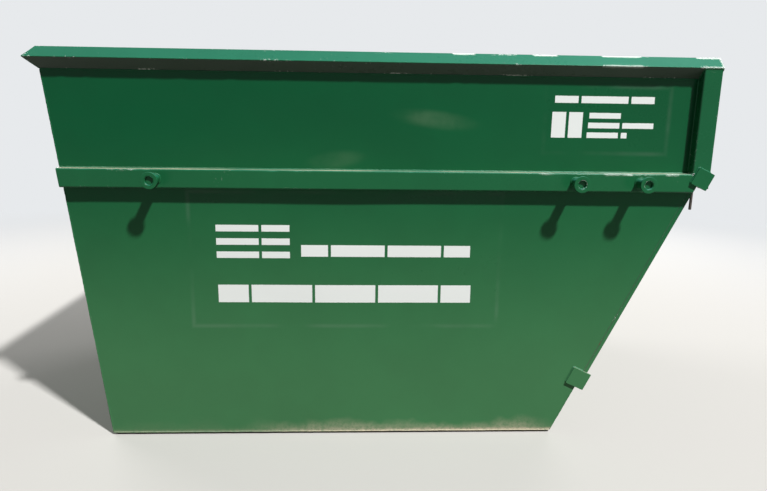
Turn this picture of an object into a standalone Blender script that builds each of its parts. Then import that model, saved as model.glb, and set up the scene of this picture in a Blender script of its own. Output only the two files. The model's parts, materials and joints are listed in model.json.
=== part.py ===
"""An open-topped skip bin with a drop-down rear door, in metres, +Z up.

+X runs to the rear, where the door is, and -Y is the near side. The origin is the middle of the
footprint on the ground. The rear slope has its own frame: "up" runs up the slope from the foot of
the rear edge and "out" stands square to it, away from the bin.
"""

import math

import bmesh
import bpy
from mathutils import Matrix, Vector

# Overall sizes
height = 1.800
floor_length = 2.134
body_width = 1.500
ground_clearance = 0.010
front_lean = math.radians(6.0)
rear_lean = math.radians(25.2)
rear_step = 0.039

# Clearances
gap = 0.0003
door_side_clearance = 0.001
door_head_clearance = 0.0015
socket_clearance = 0.002
slot_clearance = 0.0008
bolt_tip_inset = 0.006

# Plates
wall_plate = 0.004
floor_thickness = 0.006
rim_lip = 0.003
skid_width = 0.100
skid_length_share = 0.94
skid_place_share = 0.80

# Rim angle and pressed channels
rim_leg = 0.065
rim_wall = 0.005
rail_underside = 1.206
rail_height = 0.085
rail_depth = 0.042
rail_wall = 0.005
rail_bend = 0.008
cap_inset = 0.003
cap_thickness = 0.004
stiffener_width = 0.060
stiffener_depth = 0.030
stiffener_wall = 0.004
stiffener_bend = 0.007
stiffener_foot = 0.060
stiffener_place_share = 0.42

# Rear end above the door
lintel_depth = 0.060
lintel_height = 0.080
panel_bend = 0.007
tube_wall = 0.004
jamb_width = 0.040
jamb_thickness = 0.006

# Lifting pins
front_pin_inset = 0.290
rear_pin_reach = 0.315
rear_pin_spacing = 0.295
pin_reach = 0.086
pin_radius = 0.0212
pin_wall = 0.004
disc_radius = 0.0365
disc_thickness = 0.010

# Lugs
upper_lug_size = 0.080
lower_lug_width = 0.095
lower_lug_height = 0.088
lower_lug_out = -0.0075
lower_lug_drop = 0.003
lug_thickness = 0.010
lug_corner = 0.003
upper_lug_rise = 0.019
upper_lug_out = 0.003

# Door
hinge_up = 0.306
hinge_out = 0.020
door_head_drop = 0.0143
door_thickness = 0.022
door_plate = 0.004
frame_width = 0.050
door_rib_width = 0.060
door_rib_depth = 0.038
door_rib_shares = (0.36, 0.70)
sill_overlap = 0.020

# Hinge
shaft_radius = 0.010
knuckle_radius = 0.017
knuckle_length = 0.100
knuckle_place_shares = (-0.80, 0.0, 0.80)
bracket_thickness = 0.012
bracket_base = 0.030
bracket_place_share = 0.40
sill_rail_width = 0.060
sill_rail_depth = 0.036
sill_rail_share = 0.84

# Lock bolts
bolt_radius = 0.008
bolt_length = 0.158
bolt_travel = 0.044
barrel_radius = 0.0125
barrel_length = 0.140
barrel_inset = 0.004
socket_wall = 0.004
handle_radius = 0.0065
handle_drop = 0.125
handle_inset = 0.065
handle_round = 0.002

# Facets
round_steps = 28
bend_steps = 3

# Worked out from the sizes above
half_floor = floor_length / 2
half_width = body_width / 2
wall_top = height - rim_lip
rim_reach = rim_leg / math.sqrt(2)
rim_middle = height - rim_reach
rim_bottom = height - 2 * rim_reach
rail_top = rail_underside + rail_height
rail_centre = rail_underside + rail_height / 2
rail_face = half_width + gap + rail_depth
door_top = (rail_top - door_head_drop - ground_clearance) / math.cos(rear_lean)
door_face = gap + door_thickness
door_half = half_width - door_side_clearance
step_height = ground_clearance + (door_top + door_head_clearance) * math.cos(rear_lean)
rear_face = half_floor + (door_top + door_head_clearance) * math.sin(rear_lean) + rear_step
bolt_up = door_top - frame_width / 2
bolt_out = door_face + gap + barrel_radius
socket_half = bolt_radius + socket_clearance + socket_wall
lug_face = rail_face + gap
inner_half = half_width - wall_plate - gap

green = (0.045, 0.165, 0.085, 1.0)
dark_green = (0.022, 0.095, 0.055, 1.0)
bare_steel = (0.23, 0.22, 0.21, 1.0)
skid_steel = (0.12, 0.10, 0.09, 1.0)

for old in list(bpy.data.objects):
    bpy.data.objects.remove(old, do_unlink=True)
parts = bpy.data.collections.new("skip_bin")
cutters = bpy.data.collections.new("cutters")
bpy.context.scene.collection.children.link(parts)
bpy.context.scene.collection.children.link(cutters)


def front_x(z):
    """The x of the front wall's outer face at a height."""
    return -half_floor - math.tan(front_lean) * (z - ground_clearance)


def slope_point(up, out):
    """The x and z of a point in the rear slope's frame."""
    x = half_floor + up * math.sin(rear_lean) + out * math.cos(rear_lean)
    z = ground_clearance + up * math.cos(rear_lean) - out * math.sin(rear_lean)
    return x, z


def axes_matrix(origin, x_axis, y_axis, z_axis):
    """A matrix that takes a solid's own axes to the three axes given."""
    columns = Matrix((x_axis, y_axis, z_axis)).transposed().to_4x4()
    return Matrix.Translation(Vector(origin)) @ columns


def upright(y):
    """An outline drawn in X and Z, extruded along Y."""
    return axes_matrix((0, y, 0), (1, 0, 0), (0, 0, 1), (0, -1, 0))


def sloped(y, up=0, out=0):
    """An outline drawn out from and up the rear slope, extruded along Y."""
    x, z = slope_point(up, out)
    outward = (math.cos(rear_lean), 0, -math.sin(rear_lean))
    upward = (math.sin(rear_lean), 0, math.cos(rear_lean))
    return axes_matrix((x, y, z), outward, upward, (0, -1, 0))


def sideways(x, side, z=0):
    """An outline drawn out from a side wall and up, extruded along X."""
    origin = (x, side * (half_width + gap), z)
    return axes_matrix(origin, (0, side, 0), (0, 0, 1), (side, 0, 0))


def finish(thing, colour, roughness, metallic):
    """The sub-part's own plain material."""
    material = bpy.data.materials.new(thing.name + "_finish")
    material.use_nodes = True
    shader = material.node_tree.nodes["Principled BSDF"]
    shader.inputs["Base Color"].default_value = colour
    shader.inputs["Roughness"].default_value = roughness
    shader.inputs["Metallic"].default_value = metallic
    thing.data.materials.clear()
    thing.data.materials.append(material)


def extruded(name, loops, depth, place, colour=green, roughness=0.45, metallic=0.0):
    """A flat outline, with its holes, extruded by depth and set in its place as a welded mesh."""
    flat = bpy.data.curves.new(name, "CURVE")
    flat.dimensions = "2D"
    flat.fill_mode = "BOTH"
    flat.extrude = depth / 2
    for loop in loops:
        spline = flat.splines.new("POLY")
        spline.points.add(len(loop) - 1)
        for point, (x, y) in zip(spline.points, loop):
            point.co = (x, y, 0, 1)
        spline.use_cyclic_u = True
    guide = bpy.data.objects.new(name + "_outline", flat)
    bpy.context.scene.collection.objects.link(guide)
    bpy.context.view_layer.update()
    evaluated = guide.evaluated_get(bpy.context.evaluated_depsgraph_get())
    mesh = bpy.data.meshes.new_from_object(evaluated)
    bpy.data.objects.remove(guide, do_unlink=True)
    weld(mesh)
    thing = bpy.data.objects.new(name, mesh)
    parts.objects.link(thing)
    thing.matrix_world = place
    finish(thing, colour, roughness, metallic)
    return thing


def weld(mesh):
    """Join the caps of a filled curve to its sides."""
    work = bmesh.new()
    work.from_mesh(mesh)
    bmesh.ops.remove_doubles(work, verts=work.verts, dist=gap / 10)
    bmesh.ops.recalc_face_normals(work, faces=work.faces)
    work.to_mesh(mesh)
    work.free()


def trim(thing, point, normal):
    """Cut a solid flat, taking off what lies on the side that the normal points to."""
    inverse = thing.matrix_world.inverted()
    local_point = inverse @ Vector(point)
    local_normal = inverse.to_3x3() @ Vector(normal)
    work = bmesh.new()
    work.from_mesh(thing.data)
    geometry = work.verts[:] + work.edges[:] + work.faces[:]
    bmesh.ops.bisect_plane(
        work, geom=geometry, plane_co=local_point, plane_no=local_normal, clear_outer=True
    )
    open_edges = [edge for edge in work.edges if edge.is_boundary]
    bmesh.ops.holes_fill(work, edges=open_edges, sides=0)
    bmesh.ops.recalc_face_normals(work, faces=work.faces)
    work.to_mesh(thing.data)
    work.free()


def rectangle(low_x, low_y, high_x, high_y):
    return [(low_x, low_y), (high_x, low_y), (high_x, high_y), (low_x, high_y)]


def arc(x, y, radius, start, end, steps):
    """Points on an arc about x and y, with its angles in degrees."""
    angles = [math.radians(start + (end - start) * i / steps) for i in range(steps + 1)]
    return [(x + radius * math.cos(a), y + radius * math.sin(a)) for a in angles]


def circle(radius, x=0, y=0):
    return arc(x, y, radius, 0, 360, round_steps)[:-1]


def rounded_plate(width, height, corner):
    """A rectangle about the origin with round corners."""
    reach_x = width / 2 - corner
    reach_y = height / 2 - corner
    points = []
    for turn, (i, j) in enumerate(((1, 1), (-1, 1), (-1, -1), (1, -1))):
        start = turn * 90
        points += arc(i * reach_x, j * reach_y, corner, start, start + 90, bend_steps)
    return points


def channel(width, depth, wall, bend, inner=0):
    """A pressed channel, open at x = 0, or with inner set the shape that closes its inside."""
    near = bend
    far = width - bend
    middle = depth - bend
    if inner:
        radius = bend - wall - inner
        return (
            [(0, wall + inner)]
            + arc(middle, near, radius, -90, 0, bend_steps)
            + arc(middle, far, radius, 0, 90, bend_steps)
            + [(0, width - wall - inner)]
        )
    return (
        [(0, 0)]
        + arc(middle, near, bend, -90, 0, bend_steps)
        + arc(middle, far, bend, 0, 90, bend_steps)
        + [(0, width), (0, width - wall)]
        + arc(middle, far, bend - wall, 90, 0, bend_steps)
        + arc(middle, near, bend - wall, 0, -90, bend_steps)
        + [(0, wall)]
    )


def hollow_box(low_x, low_y, high_x, high_y, wall):
    """The two outlines of a rectangular tube."""
    outer = rectangle(low_x, low_y, high_x, high_y)
    inner = rectangle(low_x + wall, low_y + wall, high_x - wall, high_y - wall)
    return [outer, inner]


def rod(name, radius, length, place, colour, tip=0):
    """A round bar along its own Z, from its origin, with an eased far end."""
    work = bmesh.new()
    bmesh.ops.create_cone(
        work, cap_ends=True, segments=round_steps, radius1=radius, radius2=radius, depth=length
    )
    bmesh.ops.translate(work, verts=work.verts, vec=(0, 0, length / 2))
    if tip:
        rim = [e for e in work.edges if all(v.co.z > length - gap for v in e.verts)]
        bmesh.ops.bevel(
            work, geom=rim, offset=tip, segments=2, profile=0.5, affect="EDGES", material=-1
        )
    mesh = bpy.data.meshes.new(name)
    work.to_mesh(mesh)
    work.free()
    thing = bpy.data.objects.new(name, mesh)
    parts.objects.link(thing)
    thing.matrix_world = place
    finish(thing, colour, 0.5, 0.6)
    return thing


def hang(thing, parent):
    """Parent a sub-part to its joint's empty and leave it where it is."""
    bpy.context.view_layer.update()
    place = thing.matrix_world.copy()
    thing.parent = parent
    thing.matrix_parent_inverse = parent.matrix_world.inverted()
    thing.matrix_world = place


def cut_with(thing, cutter, operation):
    """A Boolean between a sub-part and a cutter, which is only a guide."""
    parts.objects.unlink(cutter)
    cutters.objects.link(cutter)
    cutter.hide_render = True
    cutter.display_type = "WIRE"
    step = thing.modifiers.new(operation.lower(), "BOOLEAN")
    step.operation = operation
    step.solver = "EXACT"
    step.object = cutter


def side_name(side):
    return "near" if side < 0 else "far"


# The tub: floor, walls and skids

floor_front = wall_plate / math.cos(front_lean) + gap - half_floor
floor_rear = half_floor - wall_plate / math.cos(rear_lean) - gap
extruded(
    "floor_plate",
    [rectangle(floor_front, ground_clearance, floor_rear, ground_clearance + floor_thickness)],
    2 * inner_half,
    upright(0),
    colour=dark_green,
    roughness=0.7,
)

skid_half = half_floor * skid_length_share
for label, share in (("near", -skid_place_share), ("centre", 0), ("far", skid_place_share)):
    extruded(
        "skid_strip_" + label,
        [rectangle(-skid_half, 0, skid_half, ground_clearance - gap)],
        skid_width,
        upright(share * half_width),
        colour=skid_steel,
        roughness=0.6,
        metallic=0.5,
    )

step_x = slope_point(door_top + door_head_clearance, 0)[0]
wall_outline = [
    (front_x(ground_clearance), ground_clearance),
    (half_floor, ground_clearance),
    (step_x, step_height),
    (step_x, wall_top),
    (front_x(wall_top), wall_top),
]
for side in (-1, 1):
    extruded(
        "side_wall_" + side_name(side),
        [wall_outline],
        wall_plate,
        upright(side * (half_width - wall_plate / 2)),
    )

front_slant = wall_plate / math.cos(front_lean)
extruded(
    "front_wall",
    [
        [
            (front_x(ground_clearance), ground_clearance),
            (front_x(ground_clearance) + front_slant, ground_clearance),
            (front_x(wall_top) + front_slant, wall_top),
            (front_x(wall_top), wall_top),
        ]
    ],
    2 * inner_half,
    upright(0),
)

front_up = Vector((-math.sin(front_lean), 0, math.cos(front_lean)))
front_out = Vector((-math.cos(front_lean), 0, -math.sin(front_lean)))
front_foot = Vector((front_x(ground_clearance), 0, ground_clearance)) + gap * front_out
rib_run = (rim_bottom - gap - ground_clearance) / math.cos(front_lean) - stiffener_foot
for side in (-1, 1):
    middle = Vector((0, side * stiffener_place_share * half_width + stiffener_width / 2, 0))
    origin = front_foot + middle + front_up * (stiffener_foot + rib_run / 2)
    stiffener = extruded(
        "front_stiffener_" + side_name(side),
        [channel(stiffener_width, stiffener_depth, stiffener_wall, stiffener_bend)],
        rib_run + rim_reach,
        axes_matrix(origin, front_out, (0, -1, 0), front_up),
    )
    trim(stiffener, (0, 0, ground_clearance + stiffener_foot), (0, 0, -1))
    under_rim = (front_x(rim_bottom) - gap, 0, rim_bottom - gap - math.sqrt(2) * gap)
    leg_fall = Vector((front_x(rim_middle) - rim_reach, 0, rim_middle))
    leg_fall -= Vector((front_x(rim_bottom), 0, rim_bottom))
    trim(stiffener, under_rim, (leg_fall.z, 0, -leg_fall.x))

# Rim angles, corner outwards, mitred together at the front

rim_thick = rim_wall * math.sqrt(2)
side_rim_outline = [
    (0, rim_reach),
    (rim_reach, 0),
    (0, -rim_reach),
    (0, -rim_reach + rim_thick),
    (rim_reach - rim_thick, 0),
    (0, rim_reach - rim_thick),
]
mitre_top = Vector((front_x(height) - gap, 0, height))
mitre_tip = Vector((front_x(rim_middle) - gap - rim_reach, 0, rim_middle))
mitre_low = Vector((front_x(rim_bottom) - gap, 0, rim_bottom))


def mitre(side):
    """The mitre plane's point and its normal, which points forward."""
    inner = side * (half_width + gap)
    outer = side * (half_width + gap + rim_reach)
    top = Vector((mitre_top.x, inner, mitre_top.z))
    tip = Vector((mitre_tip.x, outer, mitre_tip.z))
    low = Vector((mitre_low.x, inner, mitre_low.z))
    normal = (tip - top).cross(low - top).normalized()
    if normal.x > 0:
        normal = -normal
    return top, normal


rim_length = rear_face - mitre_tip.x
for side in (-1, 1):
    rim = extruded(
        "rim_" + side_name(side),
        [side_rim_outline],
        rim_length,
        sideways(rear_face - rim_length / 2, side, rim_middle),
    )
    point, normal = mitre(side)
    trim(rim, point - normal * gap / 2, normal)

front_rim_outline = [
    (mitre_top.x, height),
    (mitre_tip.x, rim_middle),
    (mitre_low.x, rim_bottom),
    (front_x(rim_bottom + rim_thick) - gap, rim_bottom + rim_thick),
    (mitre_tip.x + rim_thick, rim_middle),
    (front_x(height - rim_thick) - gap, height - rim_thick),
]
front_rim = extruded(
    "rim_front", [front_rim_outline], 2 * (half_width + gap + rim_reach), upright(0)
)
for side in (-1, 1):
    point, normal = mitre(side)
    trim(front_rim, point + normal * gap / 2, -normal)

# Side rails with their front caps, and the corner posts

rail_length = rear_face - front_x(rail_top)
rail_middle = (rear_face + front_x(rail_top)) / 2
front_plane = (front_x(rail_underside), 0, rail_underside)
slope_normal = (math.cos(rear_lean), 0, -math.sin(rear_lean))
slope_foot = (half_floor, 0, ground_clearance)
for side in (-1, 1):
    rail = extruded(
        "side_rail_" + side_name(side),
        [channel(rail_height, rail_depth, rail_wall, rail_bend)],
        rail_length + rail_height,
        sideways(rail_middle, side, rail_underside),
    )
    trim(rail, front_plane, front_out)
    trim(rail, slope_foot, slope_normal)
    cap = extruded(
        "rail_cap_" + side_name(side),
        [channel(rail_height, rail_depth, rail_wall, rail_bend, gap)],
        rail_length + rail_height,
        sideways(rail_middle, side, rail_underside),
    )
    trim(cap, Vector(front_plane) - cap_inset * front_out, front_out)
    trim(cap, Vector(front_plane) - (cap_inset + cap_thickness) * front_out, -front_out)

post_bottom = rail_top + gap
for side in (-1, 1):
    outward = Vector((0, side, 0))
    origin = Vector((rear_face, side * (half_width + gap), (post_bottom + height) / 2))
    post = extruded(
        "corner_post_" + side_name(side),
        [channel(rail_height, rail_depth, rail_wall, rail_bend)],
        height - post_bottom,
        axes_matrix(origin, outward, (-1, 0, 0), outward.cross(Vector((-1, 0, 0)))),
    )
    under_rim = (0, side * (half_width + gap), rim_bottom - math.sqrt(2) * gap)
    trim(post, under_rim, (0, -side, 1))

# Rear end above the door: a panel with folded edges that meet the walls

panel_top = rim_bottom - gap
extruded(
    "rear_panel",
    [channel(body_width, rear_step - gap, wall_plate, panel_bend)],
    panel_top - step_height,
    Matrix.Translation((step_x + gap, -half_width, (step_height + panel_top) / 2)),
)
lintel_rear = rear_face - wall_plate - gap
extruded(
    "rear_lintel",
    hollow_box(
        lintel_rear - lintel_depth,
        step_height,
        lintel_rear,
        step_height + lintel_height,
        tube_wall,
    ),
    2 * (inner_half - panel_bend + wall_plate),
    upright(0),
)
extruded(
    "rear_top_rail",
    hollow_box(step_x + gap, rim_bottom, rear_face, height, tube_wall),
    body_width,
    upright(0),
)

# Fixed sill under the door, and the jambs beside it

sill_top = hinge_up + knuckle_radius + sill_overlap
extruded(
    "sill_wall",
    [rectangle(-wall_plate, 0, 0, sill_top)],
    2 * inner_half,
    sloped(0),
)
for side in (-1, 1):
    jamb = extruded(
        "door_jamb_" + side_name(side),
        [rectangle(-gap - jamb_thickness, sill_top + gap, -gap, door_top + jamb_thickness)],
        jamb_width,
        sloped(side * (inner_half - jamb_width / 2)),
    )
    trim(jamb, (0, 0, step_height - gap), (0, 0, 1))
sill_rail_up = hinge_up - bracket_base - gap - sill_rail_width
extruded(
    "sill_rail",
    [channel(sill_rail_width, sill_rail_depth, stiffener_wall, stiffener_bend)],
    body_width * sill_rail_share,
    sloped(0, sill_rail_up, gap),
)

# Lifting pins and their end discs

pin_places = {
    "front": -half_floor + front_pin_inset,
    "middle": half_floor + rear_pin_reach - rear_pin_spacing,
    "rear": half_floor + rear_pin_reach,
}
for side in (-1, 1):
    for label, x in pin_places.items():
        tube_middle = side * (lug_face + pin_reach / 2)
        extruded(
            "lift_pin_" + label + "_" + side_name(side),
            [
                circle(pin_radius, x, rail_centre),
                circle(pin_radius - pin_wall, x, rail_centre),
            ],
            pin_reach,
            upright(tube_middle),
        )
        disc_middle = side * (lug_face + pin_reach - disc_thickness / 2)
        extruded(
            "lift_disc_" + label + "_" + side_name(side),
            [circle(disc_radius, x, rail_centre), circle(pin_radius + gap, x, rail_centre)],
            disc_thickness,
            upright(disc_middle),
        )

# Lugs, and the square sockets that take the lock bolts

upper_lug_up = bolt_up + upper_lug_rise
bolt_x, bolt_z = slope_point(bolt_up, bolt_out)
for side in (-1, 1):
    extruded(
        "lower_lug_" + side_name(side),
        [rounded_plate(lower_lug_width, lower_lug_height, lug_corner)],
        lug_thickness,
        sloped(
            side * (half_width + gap + lug_thickness / 2),
            hinge_up - lower_lug_drop,
            lower_lug_out,
        ),
    )
    extruded(
        "upper_lug_" + side_name(side),
        [rounded_plate(upper_lug_size, upper_lug_size, lug_corner)],
        lug_thickness,
        sloped(side * (lug_face + lug_thickness / 2), upper_lug_up, upper_lug_out),
    )
    socket_start = half_width + door_side_clearance
    socket_length = lug_face - gap - socket_start
    extruded(
        "bolt_socket_" + side_name(side),
        hollow_box(
            bolt_x - socket_half,
            bolt_z - socket_half,
            bolt_x + socket_half,
            bolt_z + socket_half,
            socket_wall,
        ),
        socket_length,
        upright(side * (socket_start + socket_length / 2)),
    )

# Hinge shaft and the brackets that hold it on the sill rail

shaft_half = half_width
shaft_place = axes_matrix(
    (slope_point(hinge_up, hinge_out)[0], -shaft_half, slope_point(hinge_up, hinge_out)[1]),
    (1, 0, 0),
    (0, 0, -1),
    (0, 1, 0),
)
rod("hinge_shaft", shaft_radius, 2 * shaft_half, shaft_place, bare_steel)
bracket_outline = [(-knuckle_radius, -bracket_base), (knuckle_radius, -bracket_base)]
bracket_outline += arc(0, 0, knuckle_radius, 0, 180, round_steps // 2)
for side in (-1, 1):
    extruded(
        "shaft_bracket_" + side_name(side),
        [bracket_outline, circle(shaft_radius + gap)],
        bracket_thickness,
        sloped(side * bracket_place_share * half_width, hinge_up, hinge_out),
    )

# The door, which hangs on its hinge's empty

door_hinge = bpy.data.objects.new("door_hinge", None)
parts.objects.link(door_hinge)
hinge_x, hinge_z = slope_point(hinge_up, hinge_out)
door_hinge.location = (hinge_x, 0, hinge_z)
door_bottom = hinge_up + knuckle_radius + gap
frame_out = gap + door_plate + gap
frame_half = door_half - frame_width - gap


def door_piece(name, loops, depth, place):
    hang(extruded(name, loops, depth, place, colour=green), door_hinge)


door_piece(
    "door_sheet",
    [rectangle(gap, door_bottom, gap + door_plate, door_top)],
    2 * door_half,
    sloped(0),
)
for side in (-1, 1):
    door_piece(
        "door_stile_" + side_name(side),
        [rectangle(frame_out, door_bottom, door_face, door_top)],
        frame_width,
        sloped(side * (door_half - frame_width / 2)),
    )
door_piece(
    "door_bottom_rail",
    [rectangle(frame_out, door_bottom, door_face, door_bottom + frame_width)],
    2 * frame_half,
    sloped(0),
)
door_piece(
    "door_top_rail",
    [rectangle(frame_out, door_top - frame_width, door_face, door_top)],
    2 * frame_half,
    sloped(0),
)
for label, share in zip(("lower", "upper"), door_rib_shares):
    rib_up = door_bottom + share * (door_top - door_bottom) - door_rib_width / 2
    door_piece(
        "door_rib_" + label,
        [channel(door_rib_width, door_rib_depth, stiffener_wall, stiffener_bend)],
        2 * frame_half,
        sloped(0, rib_up, frame_out),
    )
for label, share in zip(("near", "centre", "far"), knuckle_place_shares):
    door_piece(
        "door_knuckle_" + label,
        [circle(knuckle_radius), circle(shaft_radius + gap)],
        knuckle_length,
        sloped(share * half_width, hinge_up, hinge_out),
    )

# Lock bolts with hanging handles, and their slotted barrels

for side in (-1, 1):
    barrel_middle = side * (door_half - barrel_inset - barrel_length / 2)
    barrel = extruded(
        "bolt_barrel_" + side_name(side),
        [circle(barrel_radius), circle(bolt_radius + gap)],
        barrel_length,
        sloped(barrel_middle, bolt_up, bolt_out),
        colour=dark_green,
    )
    slide = bpy.data.objects.new("bolt_slide_" + side_name(side), None)
    parts.objects.link(slide)
    slide.location = (bolt_x, side * (door_half - bolt_tip_inset), bolt_z)
    hang(slide, door_hinge)

    handle_y = side * (door_half - handle_inset)
    slot_length = bolt_travel + 2 * (handle_radius + slot_clearance)
    slot_middle = handle_y + side * bolt_travel / 2
    slot_half = handle_radius + slot_clearance
    slot = extruded(
        "bolt_slot_" + side_name(side),
        [rectangle(-slot_half, -2 * barrel_radius, slot_half, 0)],
        slot_length,
        axes_matrix((bolt_x, slot_middle, bolt_z), (1, 0, 0), (0, 0, 1), (0, -1, 0)),
    )
    cut_with(barrel, slot, "DIFFERENCE")
    hang(barrel, door_hinge)

    tip_y = side * (door_half - bolt_tip_inset)
    start_y = tip_y - side * bolt_length
    along = axes_matrix((bolt_x, start_y, bolt_z), (1, 0, 0), (0, 0, -side), (0, side, 0))
    bolt = rod("lock_bolt_" + side_name(side), bolt_radius, bolt_length, along, bare_steel, handle_round)
    down = axes_matrix((bolt_x, handle_y, bolt_z), (1, 0, 0), (0, -1, 0), (0, 0, -1))
    handle = rod(
        "bolt_handle_" + side_name(side), handle_radius, handle_drop, down, bare_steel, handle_round
    )
    cut_with(bolt, handle, "UNION")
    hang(bolt, slide)

for thing in parts.objects:
    if thing.type == "MESH":
        thing.data.set_sharp_from_angle(angle=math.radians(30))
        for face in thing.data.polygons:
            face.use_smooth = True
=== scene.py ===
# %% [markdown]
# This lesson dresses an open-topped skip bin in Blender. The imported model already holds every
# plate, angle, pin and joint at its real size, so nothing here moves or resizes it. The lesson
# adds what a person sees from a step away: eased edges, round pins, weld beads, enamel, dust
# and wear. Each piece rides on the body that carries it, so the door and its bolts still move.

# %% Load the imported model
import json
import math
import random

import bmesh
import bpy
from mathutils import Matrix, Vector, noise

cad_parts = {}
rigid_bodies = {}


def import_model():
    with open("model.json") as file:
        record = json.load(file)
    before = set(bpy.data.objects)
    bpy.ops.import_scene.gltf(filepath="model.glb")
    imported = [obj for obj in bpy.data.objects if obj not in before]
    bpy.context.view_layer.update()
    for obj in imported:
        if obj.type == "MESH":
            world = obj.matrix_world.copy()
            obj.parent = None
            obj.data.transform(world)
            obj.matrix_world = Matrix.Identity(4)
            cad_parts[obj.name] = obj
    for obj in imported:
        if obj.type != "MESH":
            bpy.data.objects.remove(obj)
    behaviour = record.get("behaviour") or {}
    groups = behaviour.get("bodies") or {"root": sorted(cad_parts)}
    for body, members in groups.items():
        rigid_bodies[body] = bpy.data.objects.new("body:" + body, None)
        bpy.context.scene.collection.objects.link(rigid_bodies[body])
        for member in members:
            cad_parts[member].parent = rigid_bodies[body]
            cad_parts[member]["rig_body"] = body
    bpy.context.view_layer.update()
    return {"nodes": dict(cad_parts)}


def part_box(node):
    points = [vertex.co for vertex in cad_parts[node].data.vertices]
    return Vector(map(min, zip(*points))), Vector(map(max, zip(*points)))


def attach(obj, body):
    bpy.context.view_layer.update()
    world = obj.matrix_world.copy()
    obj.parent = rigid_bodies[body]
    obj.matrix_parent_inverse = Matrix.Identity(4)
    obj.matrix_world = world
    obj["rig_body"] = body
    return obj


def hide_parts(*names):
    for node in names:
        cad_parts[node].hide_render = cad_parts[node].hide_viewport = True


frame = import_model()

# %% [markdown]
# The bin was photographed from a little left of its middle, at eye height. A camera fitted to
# the plates, rails and pins gives the place, the three angles and the focal length below. The
# focal length is in picture widths, so it holds at any render size.

# %% Camera
picture_width = 767
focal_pixels = 606.151
sensor_width = 36.0
camera_place = Vector((0.1175, -3.4796, 1.5336))
camera_turn = math.radians(2.3158)
camera_dip = math.radians(12.139)
camera_roll = math.radians(0.7963)

camera = bpy.data.cameras.new("photo_camera")
camera.sensor_width = sensor_width
camera.lens = focal_pixels / picture_width * sensor_width
camera_object = bpy.data.objects.new("photo_camera", camera)
turned = Matrix.Rotation(-camera_turn, 4, "Z")
tipped = Matrix.Rotation(math.pi / 2 - camera_dip, 4, "X")
rolled = Matrix.Rotation(camera_roll, 4, "Z")
camera_object.matrix_world = Matrix.Translation(camera_place) @ turned @ tipped @ rolled
bpy.context.scene.collection.objects.link(camera_object)
bpy.context.scene.camera = camera_object
bpy.context.scene.view_settings.view_transform = "Standard"
print("lens:", round(camera.lens, 2), "mm")

# %% [markdown]
# The finishes share a few effects: edge wear, dust, the skin of sprayed enamel, scuffs, rust
# and stencilled bars. Each effect is one node group with named inputs and outputs, which every
# material places with its own values. Nodes could be added and linked one by one, but small
# helpers make each group read like a short recipe. The first ones add a node and feed it.

# %% Helpers that place nodes
def feed(tree, inputs, values):
    """Links each named input to a socket, or sets it to a value."""
    for name, value in values.items():
        if isinstance(value, bpy.types.NodeSocket):
            tree.links.new(value, inputs[name])
        else:
            inputs[name].default_value = value


def add_node(tree, kind):
    """Adds a node that starts from nothing, such as the coordinates."""
    return tree.nodes.new("ShaderNode" + kind)


def beside(kind, fields, feeds):
    """Adds a node to its feeds' own tree, sets its fields, and feeds its inputs."""
    sockets = [value for value in feeds.values() if isinstance(value, bpy.types.NodeSocket)]
    tree = sockets[0].id_data
    made = add_node(tree, kind)
    for name, value in fields.items():
        setattr(made, name, value)
    feed(tree, made.inputs, feeds)
    return made


print("shader nodes that can be placed:", len([n for n in dir(bpy.types) if "ShaderNode" in n]))

# %% [markdown]
# A mask is a value between 0 and 1 at every point of the skin. Masks come from sums and from
# ranges: a Math node does one sum, and Map Range spreads the wanted part of a value over 0 to
# 1 with soft ends. Hard steps would look cut out, so every range here is a smooth one.

# %% Sums and ranges
def sum_of(operation, first, second=0.0, clamp=False):
    """One sum of a Math node, such as MINIMUM or GREATER_THAN."""
    fields = {"operation": operation, "use_clamp": clamp}
    return beside("Math", fields, {0: first, 1: second}).outputs[0]


def times(first, second):
    return sum_of("MULTIPLY", first, second)


def plus(first, second, clamp=False):
    return sum_of("ADD", first, second, clamp)


def minus(first, second):
    return sum_of("SUBTRACT", first, second)


def spread(value, low, high, to_low=0.0, to_high=1.0):
    """Spreads a range of a value smoothly over another range."""
    feeds = {"Value": value, "From Min": low, "From Max": high}
    feeds.update({"To Min": to_low, "To Max": to_high})
    return beside("MapRange", {"interpolation_type": "SMOOTHSTEP"}, feeds).outputs["Result"]


print("sums by name:", [sum_name.__name__ for sum_name in (times, plus, minus)])

# %% [markdown]
# Every pattern is read from object coordinates. The pieces all sit at the origin with their
# shape in place, so these are metres on the bin: x along it, y across it and z up. A pattern
# then runs on from piece to piece and stays on the door when the door swings.

# %% Places, noises and tints
def place_of(tree):
    """Object coordinates."""
    return add_node(tree, "TexCoord").outputs["Object"]


def object_place(tree):
    """Object coordinates, whole and as x and z."""
    place = place_of(tree)
    split = beside("SeparateXYZ", {}, {0: place}).outputs
    return place, split["X"], split["Z"]


def facing_up(tree):
    """Which way the skin faces: 1 is straight up, 0 upright and -1 straight down."""
    normal = add_node(tree, "TexCoord").outputs["Normal"]
    return beside("SeparateXYZ", {}, {0: normal}).outputs["Z"]


def noise_of(place, scale, detail=3.0, roughness=0.55, distortion=0.0):
    """A noise between 0 and 1 at a scale of waves in each metre."""
    feeds = {"Vector": place, "Scale": scale, "Detail": detail}
    feeds.update({"Roughness": roughness, "Distortion": distortion})
    return beside("TexNoise", {}, feeds).outputs["Fac"]


def stretched(place, scales):
    """Object coordinates stretched by three factors, for streaks and brushed lines."""
    return beside("Mapping", {}, {"Vector": place, "Scale": scales}).outputs["Vector"]


def tinted(mask, under, over, blend="MIX"):
    """Lays one colour over another where a mask says."""
    fields = {"data_type": "RGBA", "blend_type": blend}
    feeds = {"Factor": mask, "A": under, "B": over}
    return beside("Mix", fields, feeds).outputs["Result"]


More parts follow.
